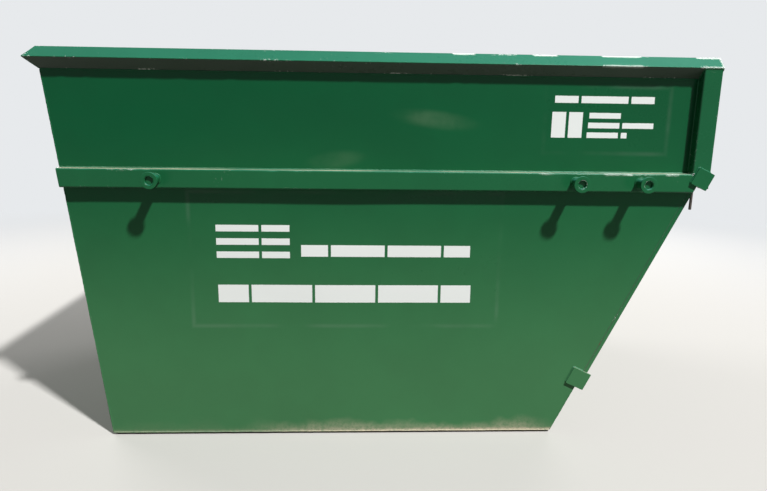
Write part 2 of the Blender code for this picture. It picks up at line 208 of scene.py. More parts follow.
# %% [markdown]
# A node group is a recipe with a name. It is built once, its number sockets are declared on
# its interface, and each material that places it gives those sockets its own values.

# %% Helpers for node groups
def new_group(name, inputs, outputs=("Mask",)):
    """An empty node group with named number sockets, and its two ends."""
    group = bpy.data.node_groups.new(name, "ShaderNodeTree")
    for label, value in inputs.items():
        socket = group.interface.new_socket(label, in_out="INPUT", socket_type="NodeSocketFloat")
        socket.default_value = value
    for label in outputs:
        group.interface.new_socket(label, in_out="OUTPUT", socket_type="NodeSocketFloat")
    start = group.nodes.new("NodeGroupInput")
    end = group.nodes.new("NodeGroupOutput")
    return group, start.outputs, end.inputs


def close_group(group, out, values):
    """Feeds a group's outputs, says how large it is, and hands it back."""
    feed(group, out, values)
    print("node group", group.name + ":", len(group.nodes), "nodes")
    return group


def place_group(tree, group, values=None):
    """Places a group in a material with its own values, and returns its outputs."""
    made = tree.nodes.new("ShaderNodeGroup")
    made.node_tree = group
    feed(tree, made.inputs, values or {})
    return made.outputs


print("node groups before the first:", len(bpy.data.node_groups))

# %% [markdown]
# The stage is a plain pale floor that fades into a pale sky, with three soft lamps. A large
# pale floor throws much light back up, which would fill the shadows under the rim and the
# rail. So it is pale where it is seen or reflected, and dimmer where it lights the bin.

# %% Floor
floor_reach = 60.0
floor_seen = (0.50, 0.487, 0.465, 1.0)
floor_bounce = (0.20, 0.185, 0.165, 1.0)
floor_fade_start = 2.4
floor_fade_end = 8.0
sky_colour = (0.80, 0.82, 0.84, 1.0)


def seen_directly(tree):
    """1 for rays from the camera and in reflections, and 0 for rays that only light."""
    path = add_node(tree, "LightPath").outputs
    seen = sum_of("MAXIMUM", path["Is Camera Ray"], path["Is Glossy Ray"])
    return sum_of("MAXIMUM", seen, path["Is Transmission Ray"])


def floor_matte():
    """Matte near the bin, and the sky's own colour further off."""
    matte = bpy.data.materials.new("studio_floor")
    matte.use_nodes = True
    tree = matte.node_tree
    tree.nodes.clear()
    seen = seen_directly(tree)
    tint = tinted(seen, floor_bounce, floor_seen)
    near = beside("BsdfDiffuse", {}, {"Color": tint}).outputs["BSDF"]
    glow = {"Color": sky_colour, "Strength": seen}
    far = beside("Emission", {}, glow).outputs["Emission"]
    place = place_of(tree)
    distance = beside("VectorMath", {"operation": "LENGTH"}, {0: place})
    fading = spread(distance.outputs["Value"], floor_fade_start, floor_fade_end)
    both = beside("MixShader", {}, {"Fac": fading, 1: near, 2: far}).outputs["Shader"]
    beside("OutputMaterial", {}, {"Surface": both})
    return matte


def studio_floor():
    """A wide pale floor at the height that the bin stands on."""
    work = bmesh.new()
    bmesh.ops.create_grid(work, x_segments=1, y_segments=1, size=floor_reach)
    mesh = bpy.data.meshes.new("studio_floor")
    work.to_mesh(mesh)
    work.free()
    mesh.materials.append(floor_matte())
    floor = bpy.data.objects.new("studio_floor", mesh)
    bpy.context.scene.collection.objects.link(floor)


studio_floor()
print("floor's reach in metres:", floor_reach)

# %% [markdown]
# The sky is one pale colour on the world's background. Like the floor it has two levels, told
# apart by the kind of ray: full where it is seen, and low where it only lights the bin.

# %% Sky
sky_level = 0.11


def pale_sky():
    """A world that is pale where it is seen and dimmer where it lights the bin."""
    world = bpy.data.worlds.new("pale_sky")
    world.use_nodes = True
    tree = world.node_tree
    feeds = {"Value": seen_directly(tree), "To Min": sky_level, "To Max": 1.0}
    level = beside("MapRange", {}, feeds).outputs["Result"]
    feed(tree, tree.nodes["Background"].inputs, {"Color": sky_colour, "Strength": level})
    bpy.context.scene.world = world


pale_sky()
print("sky's level as a light:", sky_level)

# %% [markdown]
# The key lamp stands high on the right, so that the rim, the rail and the pins throw long
# shadows down the wall. It is far away and small, which keeps the shadows parallel and only a
# little soft. Two wide lamps fill the far side and the ends.

# %% Lamps
key_distance = 30.0
key_size = 1.4
key_power = 14200.0
key_direction = Vector((0.370, -0.462, 0.806))
fill_distance = 7.0
fill_size = 4.0
fill_power = 230.0
fill_directions = (Vector((-0.75, 0.55, 0.45)), Vector((0.60, 0.75, 0.35)))
lamp_target = Vector((0.2, 0, 0.9))


def soft_lamp(name, direction, distance, size, power):
    """A square lamp that faces the bin from a direction."""
    lamp = bpy.data.lights.new(name, "AREA")
    lamp.size = size
    lamp.energy = power
    thing = bpy.data.objects.new(name, lamp)
    away = direction.normalized()
    thing.location = lamp_target + away * distance
    thing.rotation_mode = "QUATERNION"
    thing.rotation_quaternion = away.to_track_quat("Z", "Y")
    bpy.context.scene.collection.objects.link(thing)


soft_lamp("key_lamp", key_direction, key_distance, key_size, key_power)
for number, direction in enumerate(fill_directions):
    soft_lamp(f"fill_lamp_{number}", direction, fill_distance, fill_size, fill_power)
print("lamps:", 1 + len(fill_directions))

# %% [markdown]
# Paint leaves an edge first. A Bevel node bends the normal near every edge, so where its
# normal and the true one part, there is an edge. That nearness is added to two noises, and
# the paint is gone where the sum passes a level, so the chips are widest in the worst places
# and leave whole stretches of the edge unhurt.

# %% Edge wear
chip_waves = 110.0
chip_gain = 1.1
stretch_waves = 5.5
stretch_gain = 1.3
edge_gain = 0.5
edge_match = (0.998, 0.90)
edge_start = (0.02, 0.15)
chip_rim = (0.0, 0.06)


def edge_wear_group():
    group, given, out = new_group("edge_wear", {"Width": 0.006, "Amount": 0.5})
    place = place_of(group)
    bent = beside("Bevel", {"samples": 6}, {"Radius": given["Width"]}).outputs["Normal"]
    true = add_node(group, "NewGeometry").outputs["True Normal"]
    match = beside("VectorMath", {"operation": "DOT_PRODUCT"}, {0: bent, 1: true})
    edge = spread(match.outputs["Value"], *edge_match)
    chips = times(minus(noise_of(place, chip_waves, 4.0, 0.6), 0.5), chip_gain)
    slow = times(minus(noise_of(place, stretch_waves, 2.0), 0.5), stretch_gain)
    total = plus(plus(chips, slow), times(edge, edge_gain))
    level = minus(0.80, times(given["Amount"], 0.6))
    mask = spread(minus(total, level), *chip_rim)
    return close_group(group, out, {"Mask": times(mask, spread(edge, *edge_start))})


edge_wear = edge_wear_group()

# %% [markdown]
# Chains and forks hit the same places again and again. Between a left and a right end, which
# wander a little, and between two heights, the wear is much stronger. The pale dashes there
# are also painted highlights, where the top edges catch the light.

# %% Knocked places and painted highlights
place_sides = {"Left": 0.0, "Right": 1.0, "Bottom": 0.0, "Top": 1.0}
wander_waves = 30.0
end_wander = 0.02
end_softness = 0.012


def knock_and_glint_group():
    group, given, out = new_group("knock_and_glint_place", place_sides)
    place, along, height = object_place(group)
    wander = times(noise_of(place, wander_waves, 2.0), 2 * end_wander)
    along = plus(along, minus(wander, end_wander))
    from_left = minus(along, given["Left"])
    inside = sum_of("MINIMUM", from_left, minus(given["Right"], along))
    above = sum_of("GREATER_THAN", height, given["Bottom"])
    level = times(above, sum_of("LESS_THAN", height, given["Top"]))
    mask = times(spread(inside, -end_softness, end_softness), level)
    return close_group(group, out, {"Mask": mask})


knock_and_glint_place = knock_and_glint_group()

# %% [markdown]
# Dust from the yard settles on whatever faces up and is splashed over the lowest part of the
# walls by rain, most of it behind the middle. The group reads the height of a point and the
# way it faces, both in the object's own coordinates, and breaks the band up with noises.

# %% Dust
cloudy = (0.3, 0.7)
splash_fade = (1.0, 0.15)
splash_middle = (-0.45, -0.10, 0.05, 0.44)
splash_end = (1.08, 0.90, 0.35, 1.0)
crust_height = (0.030, 0.012)
crust_line = (-0.40, 0.90, 0.22, 0.75)
speckle_range = (0.30, 0.62, 0.45, 1.2)
settling_skin = (0.75, 0.97)
haze_height = (1.25, 0.1)


def dust_group():
    inputs = {"Splash Height": 0.075, "Splash": 1.0, "Settled": 0.3, "Haze": 0.1}
    group, given, out = new_group("yard_dust", inputs)
    place, along, height = object_place(group)
    plumes = spread(noise_of(place, 6.0, 2.0, 0.5), *cloudy, 0.7, 1.55)
    reach = times(given["Splash Height"], plumes)
    low = spread(sum_of("DIVIDE", height, reach), *splash_fade)
    speckle = spread(noise_of(place, 60.0, 5.0, 0.7), *speckle_range)
    middle, end = spread(along, *splash_middle), spread(along, *splash_end)
    band = times(low, times(middle, end))
    crust = times(spread(height, *crust_height), spread(along, *crust_line))
    splash = times(plus(band, crust), speckle)
    cloud = spread(noise_of(place, 2.6, 4.0, 0.6), *cloudy, 0.25, 1.0)
    up = times(spread(facing_up(group), *settling_skin), cloud)
    haze = times(spread(height, *haze_height), given["Haze"])
    total = plus(times(splash, given["Splash"]), times(up, given["Settled"]))
    return close_group(group, out, {"Mask": plus(total, haze, clamp=True)})


yard_dust = dust_group()

# %% [markdown]
# Sprayed enamel dries with an orange peel a few millimetres across and a hundredth of a
# millimetre deep, over brush-wide patches that are glossier or duller. One output is a height
# for a Bump node and the other a value that shifts the roughness.

# %% Enamel skin
sag_stretch = (1.0, 1.0, 0.35)
sag_gain = 1.6
pass_stretch = (0.6, 0.6, 3.0)
gloss_range = (0.45, 1.05, -1.0, 1.0)


def enamel_skin_group():
    group, given, out = new_group("enamel_skin", {"Peel Scale": 210.0}, ["Height", "Gloss"])
    place = place_of(group)
    peel = noise_of(place, given["Peel Scale"], 2.0, 0.5)
    sag = noise_of(stretched(place, sag_stretch), 14.0, 2.0)
    passes = noise_of(stretched(place, pass_stretch), 1.8, 3.0)
    gloss = plus(passes, times(noise_of(place, 34.0, 4.0, 0.65), 0.5))
    height = plus(peel, times(sag, sag_gain))
    return close_group(group, out, {"Height": height, "Gloss": spread(gloss, *gloss_range)})


enamel_skin = enamel_skin_group()

# %% [markdown]
# Scuffs and scratches are long and thin. A noise squeezed fiftyfold across one direction gives
# a family of such lines. Three families in different directions cross each other, and a cloud
# of large noise keeps each family in its own patches, as dragged rubble does.

# %% Scuffs
scuff_ways = ((0.10, 0.16, 0.12), (0.30, 1.25, -0.20), (-0.15, -0.35, 1.40))
scuff_squeeze = (0.55, 0.0085, 0.0085)
scratch_range = (0.63, 0.72)
scuff_rim = (0.0, 0.14)
scuff_shift = Vector((9.0, 0.0, 0.0))
scuff_origin = Vector((0.0, 0.0, 3.0))


def scuff_group():
    group, given, out = new_group("scuffs", {"Amount": 0.5})
    place = place_of(group)
    wide = minus(0.74, times(given["Amount"], 0.32))
    total = 0.0
    for number, turn in enumerate(scuff_ways):
        feeds = {"Vector": place, "Rotation": turn, "Scale": scuff_squeeze}
        lines = beside("Mapping", {"vector_type": "TEXTURE"}, feeds).outputs["Vector"]
        scratch = spread(noise_of(lines, 1.0, 3.0, 0.55, 0.25), *scratch_range)
        feeds = {"Vector": place, "Location": scuff_origin + scuff_shift * number}
        moved = beside("Mapping", {}, feeds).outputs["Vector"]
        patches = noise_of(moved, 2.6, 5.0, 0.65)
        family = times(scratch, spread(minus(patches, wide), *scuff_rim))
        total = sum_of("MAXIMUM", family, total)
    return close_group(group, out, {"Mask": total})


scuffs = scuff_group()

# %% [markdown]
# Rust starts in scratches and corners and spreads in blots with a ragged rim. A noise with
# much detail gives the blots, and their darker core comes out as a second mask.

# %% Rust
rust_rim = (0.0, 0.035)
rust_core = (0.03, 0.12)


def rust_group():
    group, given, out = new_group("rust_blots", {"Amount": 0.3, "Scale": 7.0}, ["Mask", "Core"])
    place = place_of(group)
    level = minus(0.74, times(given["Amount"], 0.35))
    over = minus(noise_of(place, given["Scale"], 8.0, 0.68), level)
    masks = {"Mask": spread(over, *rust_rim), "Core": spread(over, *rust_core)}
    return close_group(group, out, masks)


rust_blots = rust_group()

# %% [markdown]
# White marks on the bin are plain stencil bars that say nothing. A bar is a rectangle on the
# wall, cut by the bridges that hold a stencil together, with a slightly soft, sprayed edge.
# One group makes one bar from its four sides, the pitch of its bridges and their width.

# %% Stencil bars
spray_waves = 260.0
spray_reach = 0.0022


def depth_inside(given, x, z):
    """How far a point lies inside the rectangle of a group's four sides."""
    from_left = minus(x, given["Left"])
    sideways = sum_of("MINIMUM", from_left, minus(given["Right"], x))
    from_bottom = minus(z, given["Bottom"])
    upright = sum_of("MINIMUM", from_bottom, minus(given["Top"], z))
    return sum_of("MINIMUM", sideways, upright), from_left


def stencil_group():
    inputs = {**place_sides, "Pitch": 0.3, "Bridge": 0.012, "Soft": 0.0016}
    group, given, out = new_group("stencil_bar", inputs)
    place = place_of(group)
    fuzz = beside("TexNoise", {}, {"Vector": place, "Scale": spray_waves, "Detail": 2.0})
    feeds = {0: fuzz.outputs["Color"], "Scale": spray_reach}
    shift = beside("VectorMath", {"operation": "SCALE"}, feeds).outputs["Vector"]
    moved = beside("VectorMath", {"operation": "ADD"}, {0: place, 1: shift})
    split = beside("SeparateXYZ", {}, {0: moved.outputs["Vector"]}).outputs
    inside, from_left = depth_inside(given, split["X"], split["Z"])
    half = times(given["Pitch"], 0.5)
    to_bridge = minus(half, sum_of("PINGPONG", from_left, half))
    clear = minus(to_bridge, times(given["Bridge"], 0.5))
    inside = sum_of("MINIMUM", inside, clear)
    share = sum_of("DIVIDE", inside, given["Soft"])
    return close_group(group, out, {"Mask": spread(share, 0.0, 1.0)})


stencil_bar = stencil_group()

# %% [markdown]
# Around the stencilled fields the wall was masked and sprayed again, which left faint pale
# streaks along the edges of the mask. The group draws the outline of a rectangle as a soft
# line, broken by noise, and also gives the field inside it, which is a little fresher.

# %% Masked fields
def masked_field_group():
    group, given, out = new_group("masked_field", {**place_sides, "Soft": 0.016}, ["Line", "Field"])
    place, x, z = object_place(group)
    share = sum_of("DIVIDE", depth_inside(given, x, z)[0], given["Soft"])
    line = spread(sum_of("ABSOLUTE", share), 1.0, 0.0)
    broken = spread(noise_of(place, 2.6, 3.0), 0.40, 0.66)
    field = spread(share, -0.5, 0.5)
    return close_group(group, out, {"Line": times(line, broken), "Field": field})


masked_field = masked_field_group()

# %% [markdown]
# Here and there the wall shows a vague pale patch with no edge: a painted reflection of light
# on the sheet. A patch is an oval by its distance from a middle, measured in its own half
# length and half height, and a noise makes it patchy.

# %% Painted reflections
reflection_inputs = {"Middle X": 0.0, "Middle Z": 1.0, "Half Length": 0.2, "Half Height": 0.05}
reflection_inputs["Sag"] = 0.02


def reflection_group():
    group, given, out = new_group("pale_reflection", reflection_inputs)
    place, x, z = object_place(group)
    sideways = sum_of("DIVIDE", minus(x, given["Middle X"]), given["Half Length"])
    height = plus(minus(z, given["Middle Z"]), times(sideways, given["Sag"]))
    upright = sum_of("DIVIDE", height, given["Half Height"])
    away = plus(times(sideways, sideways), times(upright, upright))
    near = spread(away, 1.0, 0.0)
    patchy = spread(noise_of(place, 7.0, 3.0), *cloudy, 0.3, 1.2)
    return close_group(group, out, {"Mask": times(times(near, near), patchy)})


pale_reflection = reflection_group()


# %% [markdown]
# The enamel is one dark green all over, but it doesn't look so. High up it is deep and cool,
# and towards the ground it is chalkier and warmer, partly from dust and partly from painted
# light thrown up by the ground, and a little lighter towards the rear. Skin that faces up is
# paler, which is painted sky light, and under the rim a painted reflection of the ground greys
# it. So the base colour is a ramp over height, shifted by slow noise, with painted light by the
# way that the skin faces, then stencil bars, dust, and chips that show pale primer. The
# colours come first, as linear values.

# %% Colours of the enamel
high_green = (0.0005, 0.077, 0.0250, 1.0)
# Low down the green is partly dust and partly painted light thrown up from the ground.
low_green = (0.0270, 0.165, 0.0580, 1.0)
rail_green = (0.0060, 0.099, 0.0360, 1.0)
rearward_green = (0.0370, 0.260, 0.0980, 1.0)
# The two paler greens paint sky light on skin that faces up.
cool_up_lit = (0.0120, 0.135, 0.0740, 1.0)
warm_up_lit = (0.0270, 0.186, 0.1150, 1.0)
dust_tan = (0.52, 0.47, 0.34, 1.0)
primer_pale = (0.86, 0.91, 0.86, 1.0)
# The pale of the painted reflections on the wall.
reflection_pale = (0.60, 0.75, 0.48, 1.0)
stencil_white = (0.90, 0.93, 0.91, 1.0)
# A painted reflection of the ground, for skin that faces down.
grime = (0.125, 0.102, 0.112, 1.0)
print("enamel, high up:", high_green[:3], "and low down:", low_green[:3])

# %% [markdown]
# These values say how far each effect goes: over which heights the ramp runs, how strongly
# the slow noise shifts it, which slopes of skin take painted sky light and which a painted
# reflection of the ground, and how much each coat on top covers and dulls.

# %% Levels of the enamel
ramp_heights = (0.30, 1.58)
drift_gain = 0.45
drift_middle = 0.22
rearward_run = (-1.1, 1.5)
rearward_share = 0.06
up_lit_skin = (0.15, 0.75)
grimed_skin = (-0.25, -0.60)
patch_range = (0.96, 1.04)
gloss_level = 0.16
gloss_swing = 0.07
peel_depth = 0.00011
field_line_share = 0.030
field_gloss = -0.05
bar_share = 0.96
bar_lift = 1.5
dust_dulls = 0.4
scuff_share = 0.25
chip_share = 0.9
chip_dulls = 0.2
knock_and_glint_strength = 0.92
print("ramp from", ramp_heights[0], "m to", ramp_heights[1], "m")

# %% [markdown]
# One function builds the whole paint, so that every part of the bin wears the same enamel and
# differs only in how worn, dusty or glossy it is. It lays one coat over the other: colour with
# its painted light, marks, dust, scuffs and chips, in the order in which the real coats came
# onto the bin. The relief of the spray and of the stencilled bars goes through a Bump node.

# %% Enamel
def new_paint(name):
    """A new material and its tree."""
    paint = bpy.data.materials.new(name)
    paint.use_nodes = True
    return paint, paint.node_tree


def finish_paint(tree, relief, depth, values):
    """Feeds the shader's inputs, and a relief through a Bump node into its normal."""
    feeds = {"Height": relief, "Distance": depth, "Strength": 1.0}
    bump = beside("Bump", {}, feeds).outputs["Normal"]
    feed(tree, tree.nodes["Principled BSDF"].inputs, {**values, "Normal": bump})


def enamel(
    name, high, settled=0.3, haze=0.05, wear=0.2, bars=(), fields=(), painted_reflections=(), knocks=(),
    gloss_at=0.36, scuffed=0.15, worn_width=0.005, grimed=0.0,
):
    """Green enamel with its ramp, painted light by facing, dust, chips, and maybe stencilled bars.
    """
    paint, tree = new_paint(name)
    place, along, height = object_place(tree)
    drift = times(noise_of(place, 0.9, 2.0), drift_gain)
    level = plus(height, minus(drift, drift_middle))
    # The ramp towards the ground is partly dust and partly painted ground light; the rear is a
    # little lighter.
    colour = tinted(spread(level, *ramp_heights), low_green, high)
    to_rear = spread(along, *rearward_run)
    colour = tinted(times(to_rear, rearward_share), colour, rearward_green)
    # Skin that faces up takes a paler colour: painted sky light.
    facing = facing_up(tree)
    up_lit_tint = tinted(to_rear, cool_up_lit, warm_up_lit)
    colour = tinted(spread(facing, *up_lit_skin), colour, up_lit_tint)
    # Skin that faces down greys towards a painted reflection of the ground.
    colour = tinted(spread(facing, *grimed_skin, 0.0, grimed), colour, grime)
    patchy = spread(noise_of(place, 3.4, 5.0, 0.6), *cloudy, *patch_range)
    colour = tinted(1.0, colour, patchy, "MULTIPLY")
    skin = place_group(tree, enamel_skin)
    rough = plus(times(skin["Gloss"], gloss_swing), gloss_at)
    for row in fields:
        spots = place_group(tree, masked_field, dict(zip(place_sides, row)))
        colour = tinted(times(spots["Line"], field_line_share), colour, stencil_white)
        rough = plus(rough, times(spots["Field"], field_gloss))
    # Pale ovals: painted reflections on the wall.
    for *row, strength in painted_reflections:
        mask = place_group(tree, pale_reflection, dict(zip(reflection_inputs, row)))["Mask"]
        colour = tinted(times(mask, strength), colour, reflection_pale)
    relief = skin["Height"]
    for row in bars:
        bar = place_group(tree, stencil_bar, dict(zip((*place_sides, "Pitch"), row)))["Mask"]
        colour = tinted(times(bar, bar_share), colour, stencil_white)
        relief = plus(relief, times(bar, bar_lift))
    dust = place_group(tree, yard_dust, {"Settled": settled, "Haze": haze})["Mask"]
    colour = tinted(dust, colour, dust_tan)
    rough = plus(rough, times(dust, dust_dulls))
    marks = place_group(tree, scuffs, {"Amount": scuffed})["Mask"]
    colour = tinted(times(marks, scuff_share), colour, primer_pale)
    hurt = wear
    # Knocked places: pale dashes that are partly wear and partly painted highlights.
    for row in knocks:
        zone = place_group(tree, knock_and_glint_place, dict(zip(place_sides, row)))["Mask"]
        hurt = plus(times(zone, knock_and_glint_strength), hurt)
    chips = place_group(tree, edge_wear, {"Amount": hurt, "Width": worn_width})["Mask"]
    colour = tinted(times(chips, chip_share), colour, primer_pale)
    rough = plus(rough, times(chips, chip_dulls), clamp=True)
    values = {"Base Color": colour, "Roughness": rough, "Specular IOR Level": gloss_level}
    finish_paint(tree, relief, peel_depth, values)
    return paint


# %% [markdown]
# The walls carry the bars, the masked fields and the painted reflections. Each row gives the
# four sides of a rectangle in metres, and for a bar also the pitch of its bridges. The rim and
# the rail are knocked in a few places, which are given by their two ends and a level; there
# their top edges carry pale dashes, partly wear and partly painted highlights.

# %% Green enamels
stencil_bars = [
    (-0.535, -0.200, 1.008, 1.040, 0.40),
    (-0.535, -0.200, 0.946, 0.978, 0.40),
    (-0.535, -0.200, 0.884, 0.916, 0.40),
    (-0.150, 0.632, 0.892, 0.948, 0.261),
    (-0.535, 0.642, 0.672, 0.758, 0.294),
    (0.980, 1.431, 1.598, 1.630, 0.2255),
    (0.972, 1.112, 1.446, 1.560, 0.140),
    (1.140, 1.290, 1.532, 1.558, 0.30),
    (1.137, 1.436, 1.489, 1.515, 0.30),
    (1.134, 1.318, 1.446, 1.472, 0.30),
]
sprayed_fields = [(-0.655, 0.770, 0.556, 1.190), (0.940, 1.502, 1.377, 1.670)]
# Ovals of painted reflection on the side walls.
wall_reflections = [
    (0.45, 1.517, 0.24, 0.055, 0.024, 0.055),
    (0.01, 1.335, 0.17, 0.055, -0.020, 0.03),
]
rim_lip_level, rim_corner_level, rim_end_level = (1.785, 1.81), (1.74, 1.81), (1.75, 1.81)
rail_top_level = (1.28, 1.296)
# Pale dashes along the rim and the rail top: partly wear, partly painted highlights.
rim_knocks = [
    (0.52, 0.62, *rim_lip_level),
    (0.87, 0.98, *rim_lip_level),
    (1.16, 1.34, *rim_corner_level),
    (1.60, 1.72, *rim_end_level),
]
rail_knocks = [
    (left, right, *rail_top_level)
    for left, right in ((0.92, 0.98), (1.21, 1.34), (1.50, 1.56), (1.62, 1.66))
]
rail_look = {"haze": 0.04, "gloss_at": 0.30, "scuffed": 0.45, "worn_width": 0.014}
wall_look = {"bars": stencil_bars, "fields": sprayed_fields, "painted_reflections": wall_reflections}
wall_enamel = enamel("wall_enamel", high_green, wear=-0.1, **wall_look)
plain_enamel = enamel("plain_enamel", high_green, settled=0.15, wear=0.3)
door_enamel = enamel("door_enamel", high_green, wear=0.1)


def rail_paint(name, **look):
    """Enamel in the green of the rim and the rail."""
    return enamel(name, rail_green, **look)


# The rim's underside carries the painted reflection of the ground.
rim_enamel = rail_paint("rim_enamel", knocks=rim_knocks, settled=0.12, grimed=0.5, **rail_look)
# The rail's heavy settled dust also paints the bright line of light along its top edge.
rail_enamel = rail_paint("rail_enamel", knocks=rail_knocks, settled=0.65, **rail_look)
pin_enamel = rail_paint("pin_enamel", wear=-0.2, settled=0.1, scuffed=0.3)
# The lug's heavy settled dust also paints the highlight along its top edge.
lug_enamel = rail_paint("lug_enamel", wear=-0.1, settled=0.9, scuffed=0.4)
mouth_enamel = rail_paint("mouth_enamel", wear=0.30, settled=0.1, worn_width=0.004)
weld_enamel = rail_paint("weld_enamel", wear=-0.5)
print("green enamels:", [paint.name for paint in bpy.data.materials if "enamel" in paint.name])

# %% [markdown]
# Inside, rubble has dragged long scratches through the enamel, and the bare steel under them
# has rusted. The floor is the most worn. The enamel is the same green, under scuffs, rust and
# much dust, so this material is built on the same groups with stronger values.

# %% Load side
load_green = (0.016, 0.090, 0.040, 1.0)
load_chalk = (0.036, 0.125, 0.060, 1.0)
steel_grey = (0.30, 0.29, 0.27, 1.0)
rust_brown = (0.110, 0.053, 0.027, 1.0)
rust_dark = (0.048, 0.023, 0.013, 1.0)
rubble_dust = (0.34, 0.30, 0.23, 1.0)
rust_depth = 0.00008
load_heights = (1.5, 0.05)
load_scuffs = 0.9
bared_share = 0.6
rust_low, rust_least = 0.42, 0.26
haze_low, haze_least = 0.18, 0.04
rust_roughness = (0.5, 0.85)
dust_roughens = 0.2
load_gloss = 0.2
grain_waves = 300.0
blot_lift = 2.5
grain_lift = 2.0
load_splash = {"Splash Height": 0.30, "Splash": 0.2, "Settled": 0.24}


def load_side(name):
    """Worn enamel for the faces that hold the load."""
    paint, tree = new_paint(name)
    place, _, height = object_place(tree)
    patchy = spread(noise_of(place, 5.0, 6.0, 0.65), *cloudy)
    colour = tinted(patchy, load_green, load_chalk)
    lower = spread(height, *load_heights)
    marks = place_group(tree, scuffs, {"Amount": load_scuffs})["Mask"]
    colour = tinted(times(marks, bared_share), colour, steel_grey)
    amount = plus(times(lower, rust_low), rust_least)
    blots = place_group(tree, rust_blots, {"Amount": amount})
    colour = tinted(blots["Mask"], colour, rust_brown)
    colour = tinted(blots["Core"], colour, rust_dark)
    haze = plus(times(lower, haze_low), haze_least)
    dust = place_group(tree, yard_dust, {**load_splash, "Haze": haze})["Mask"]
    colour = tinted(dust, colour, rubble_dust)
    rough = spread(blots["Mask"], 0.0, 1.0, *rust_roughness)
    rough = plus(rough, times(dust, dust_roughens), clamp=True)
    grain = times(noise_of(place, grain_waves, 3.0), blots["Mask"])
    relief = minus(times(blots["Mask"], blot_lift), marks)
    relief = plus(relief, times(grain, grain_lift))
    values = {"Base Color": colour, "Roughness": rough, "Specular IOR Level": load_gloss}
    finish_paint(tree, relief, rust_depth, values)
    return paint


load_enamel = load_side("load_enamel")
print("inside:", load_enamel.name)

# %% [markdown]
# The skids and the underside scrape over the ground, so their paint is gone: rust with
# bright scratches lengthwise. The hinge shaft and the lock bolts were never painted. They are
# dark, dull steel, with grease that holds dust, a brown bloom, and brighter rubbed bands.

# %% Bare metals
bloom_range = (0.35, 0.68)
bloom_dulls = 0.25
worn_edges = {"Amount": 0.8, "Width": 0.002}
rub_share = 0.8
rub_smooths = 0.2
metal_grain_waves = 420.0


def bare_metal(name, base, bright, brown, rough_at, scuffed, metal):
    """Bare steel with rust bloom and rubbed marks."""
    paint, tree = new_paint(name)
    place = place_of(tree)
    cloud = spread(noise_of(place, 16.0, 6.0, 0.65), *bloom_range)
    colour = tinted(times(cloud, brown), base, rust_brown)
    rubs = place_group(tree, scuffs, {"Amount": scuffed})["Mask"]
    edges = place_group(tree, edge_wear, worn_edges)["Mask"]
    shiny = sum_of("MAXIMUM", times(rubs, rub_share), edges)
    colour = tinted(shiny, colour, bright)
    rough = plus(times(cloud, bloom_dulls), rough_at)
    rough = minus(rough, times(shiny, rub_smooths))
    dull = times(minus(1.0, cloud), metal)
    metallic = sum_of("MAXIMUM", dull, shiny)
    relief = plus(noise_of(place, metal_grain_waves, 4.0, 0.6), cloud)
    values = {"Base Color": colour, "Roughness": rough, "Metallic": metallic}
    finish_paint(tree, relief, rust_depth, values)
    return paint


greased = (0.085, 0.081, 0.075, 1.0)
rubbed = (0.45, 0.44, 0.42, 1.0)
scraped = (0.085, 0.062, 0.048, 1.0)
scratched = (0.40, 0.38, 0.35, 1.0)
shaded_green = (0.035, 0.070, 0.042, 1.0)
greased_steel = bare_metal(
    "greased_steel", greased, rubbed, brown=0.5, rough_at=0.42, scuffed=0.7, metal=0.8
)
scraped_skid = bare_metal(
    "scraped_skid", scraped, scratched, brown=0.9, rough_at=0.55, scuffed=1.2, metal=0.5
)
underside = bare_metal(
    "underside", shaded_green, steel_grey, brown=0.7, rough_at=0.6, scuffed=0.9, metal=0.1
)
print("bare metals:", 3)

# %% [markdown]
# A plate that comes from a shear or a torch never has a razor edge, and paint rounds it more.
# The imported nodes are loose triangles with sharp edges, so each one is copied, merged and
# cleaned, and its sharp edges are bevelled by a millimetre or so. A bevel in the mesh catches
# a line of light along each edge, which a bump in a material wouldn't do at the outline.

# %% Clean copies and eased edges
merge_reach = 0.00002
flat_angle = math.radians(0.5)
sharp_angle = math.radians(24.0)
ease_steps = 2


def clean_copy(node):
    """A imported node's triangles, merged into one closed mesh with whole flat faces."""
    work = bmesh.new()
    work.from_mesh(frame["nodes"][node].data)
    bmesh.ops.remove_doubles(work, verts=work.verts, dist=merge_reach)
    bmesh.ops.dissolve_limit(work, angle_limit=flat_angle, verts=work.verts, edges=work.edges)
    return work


def sharp_edges(work):
    """The edges where two faces meet at more than the angle of a gentle bend."""
    inner = [edge for edge in work.edges if len(edge.link_faces) == 2]
    return [edge for edge in inner if edge.calc_face_angle() > sharp_angle]


def ease(work, edges, width):
    """Rounds the chosen edges."""
    bmesh.ops.bevel(
        work,
        geom=edges,
        offset=width,
        offset_type="OFFSET",
        segments=ease_steps,
        profile=0.5,
        affect="EDGES",
        clamp_overlap=True,
        material=-1,
    )


def slice_across(work, direction, step):
    """Cuts the mesh into strips across a direction, so that it can bend."""
    reach = [vert.co.dot(direction) for vert in work.verts]
    low, high = min(reach), max(reach)
    count = max(int((high - low) / step), 1)
    for number in range(1, count):
        bmesh.ops.bisect_plane(
            work,
            geom=work.verts[:] + work.edges[:] + work.faces[:],
            dist=merge_reach,
            plane_co=direction * (low + (high - low) * number / count),
            plane_no=direction,
        )


print("sharp above", round(math.degrees(sharp_angle)), "degrees")

# %% [markdown]
# A mesh that has been worked on becomes a piece of its own. It is shaded smooth with weighted
# normals, so that the flat faces stay flat and only the eased edges turn the light. It rides
# on a body and has a material slot. A copy takes its body from its node, is given its paints,
# and replaces that node.


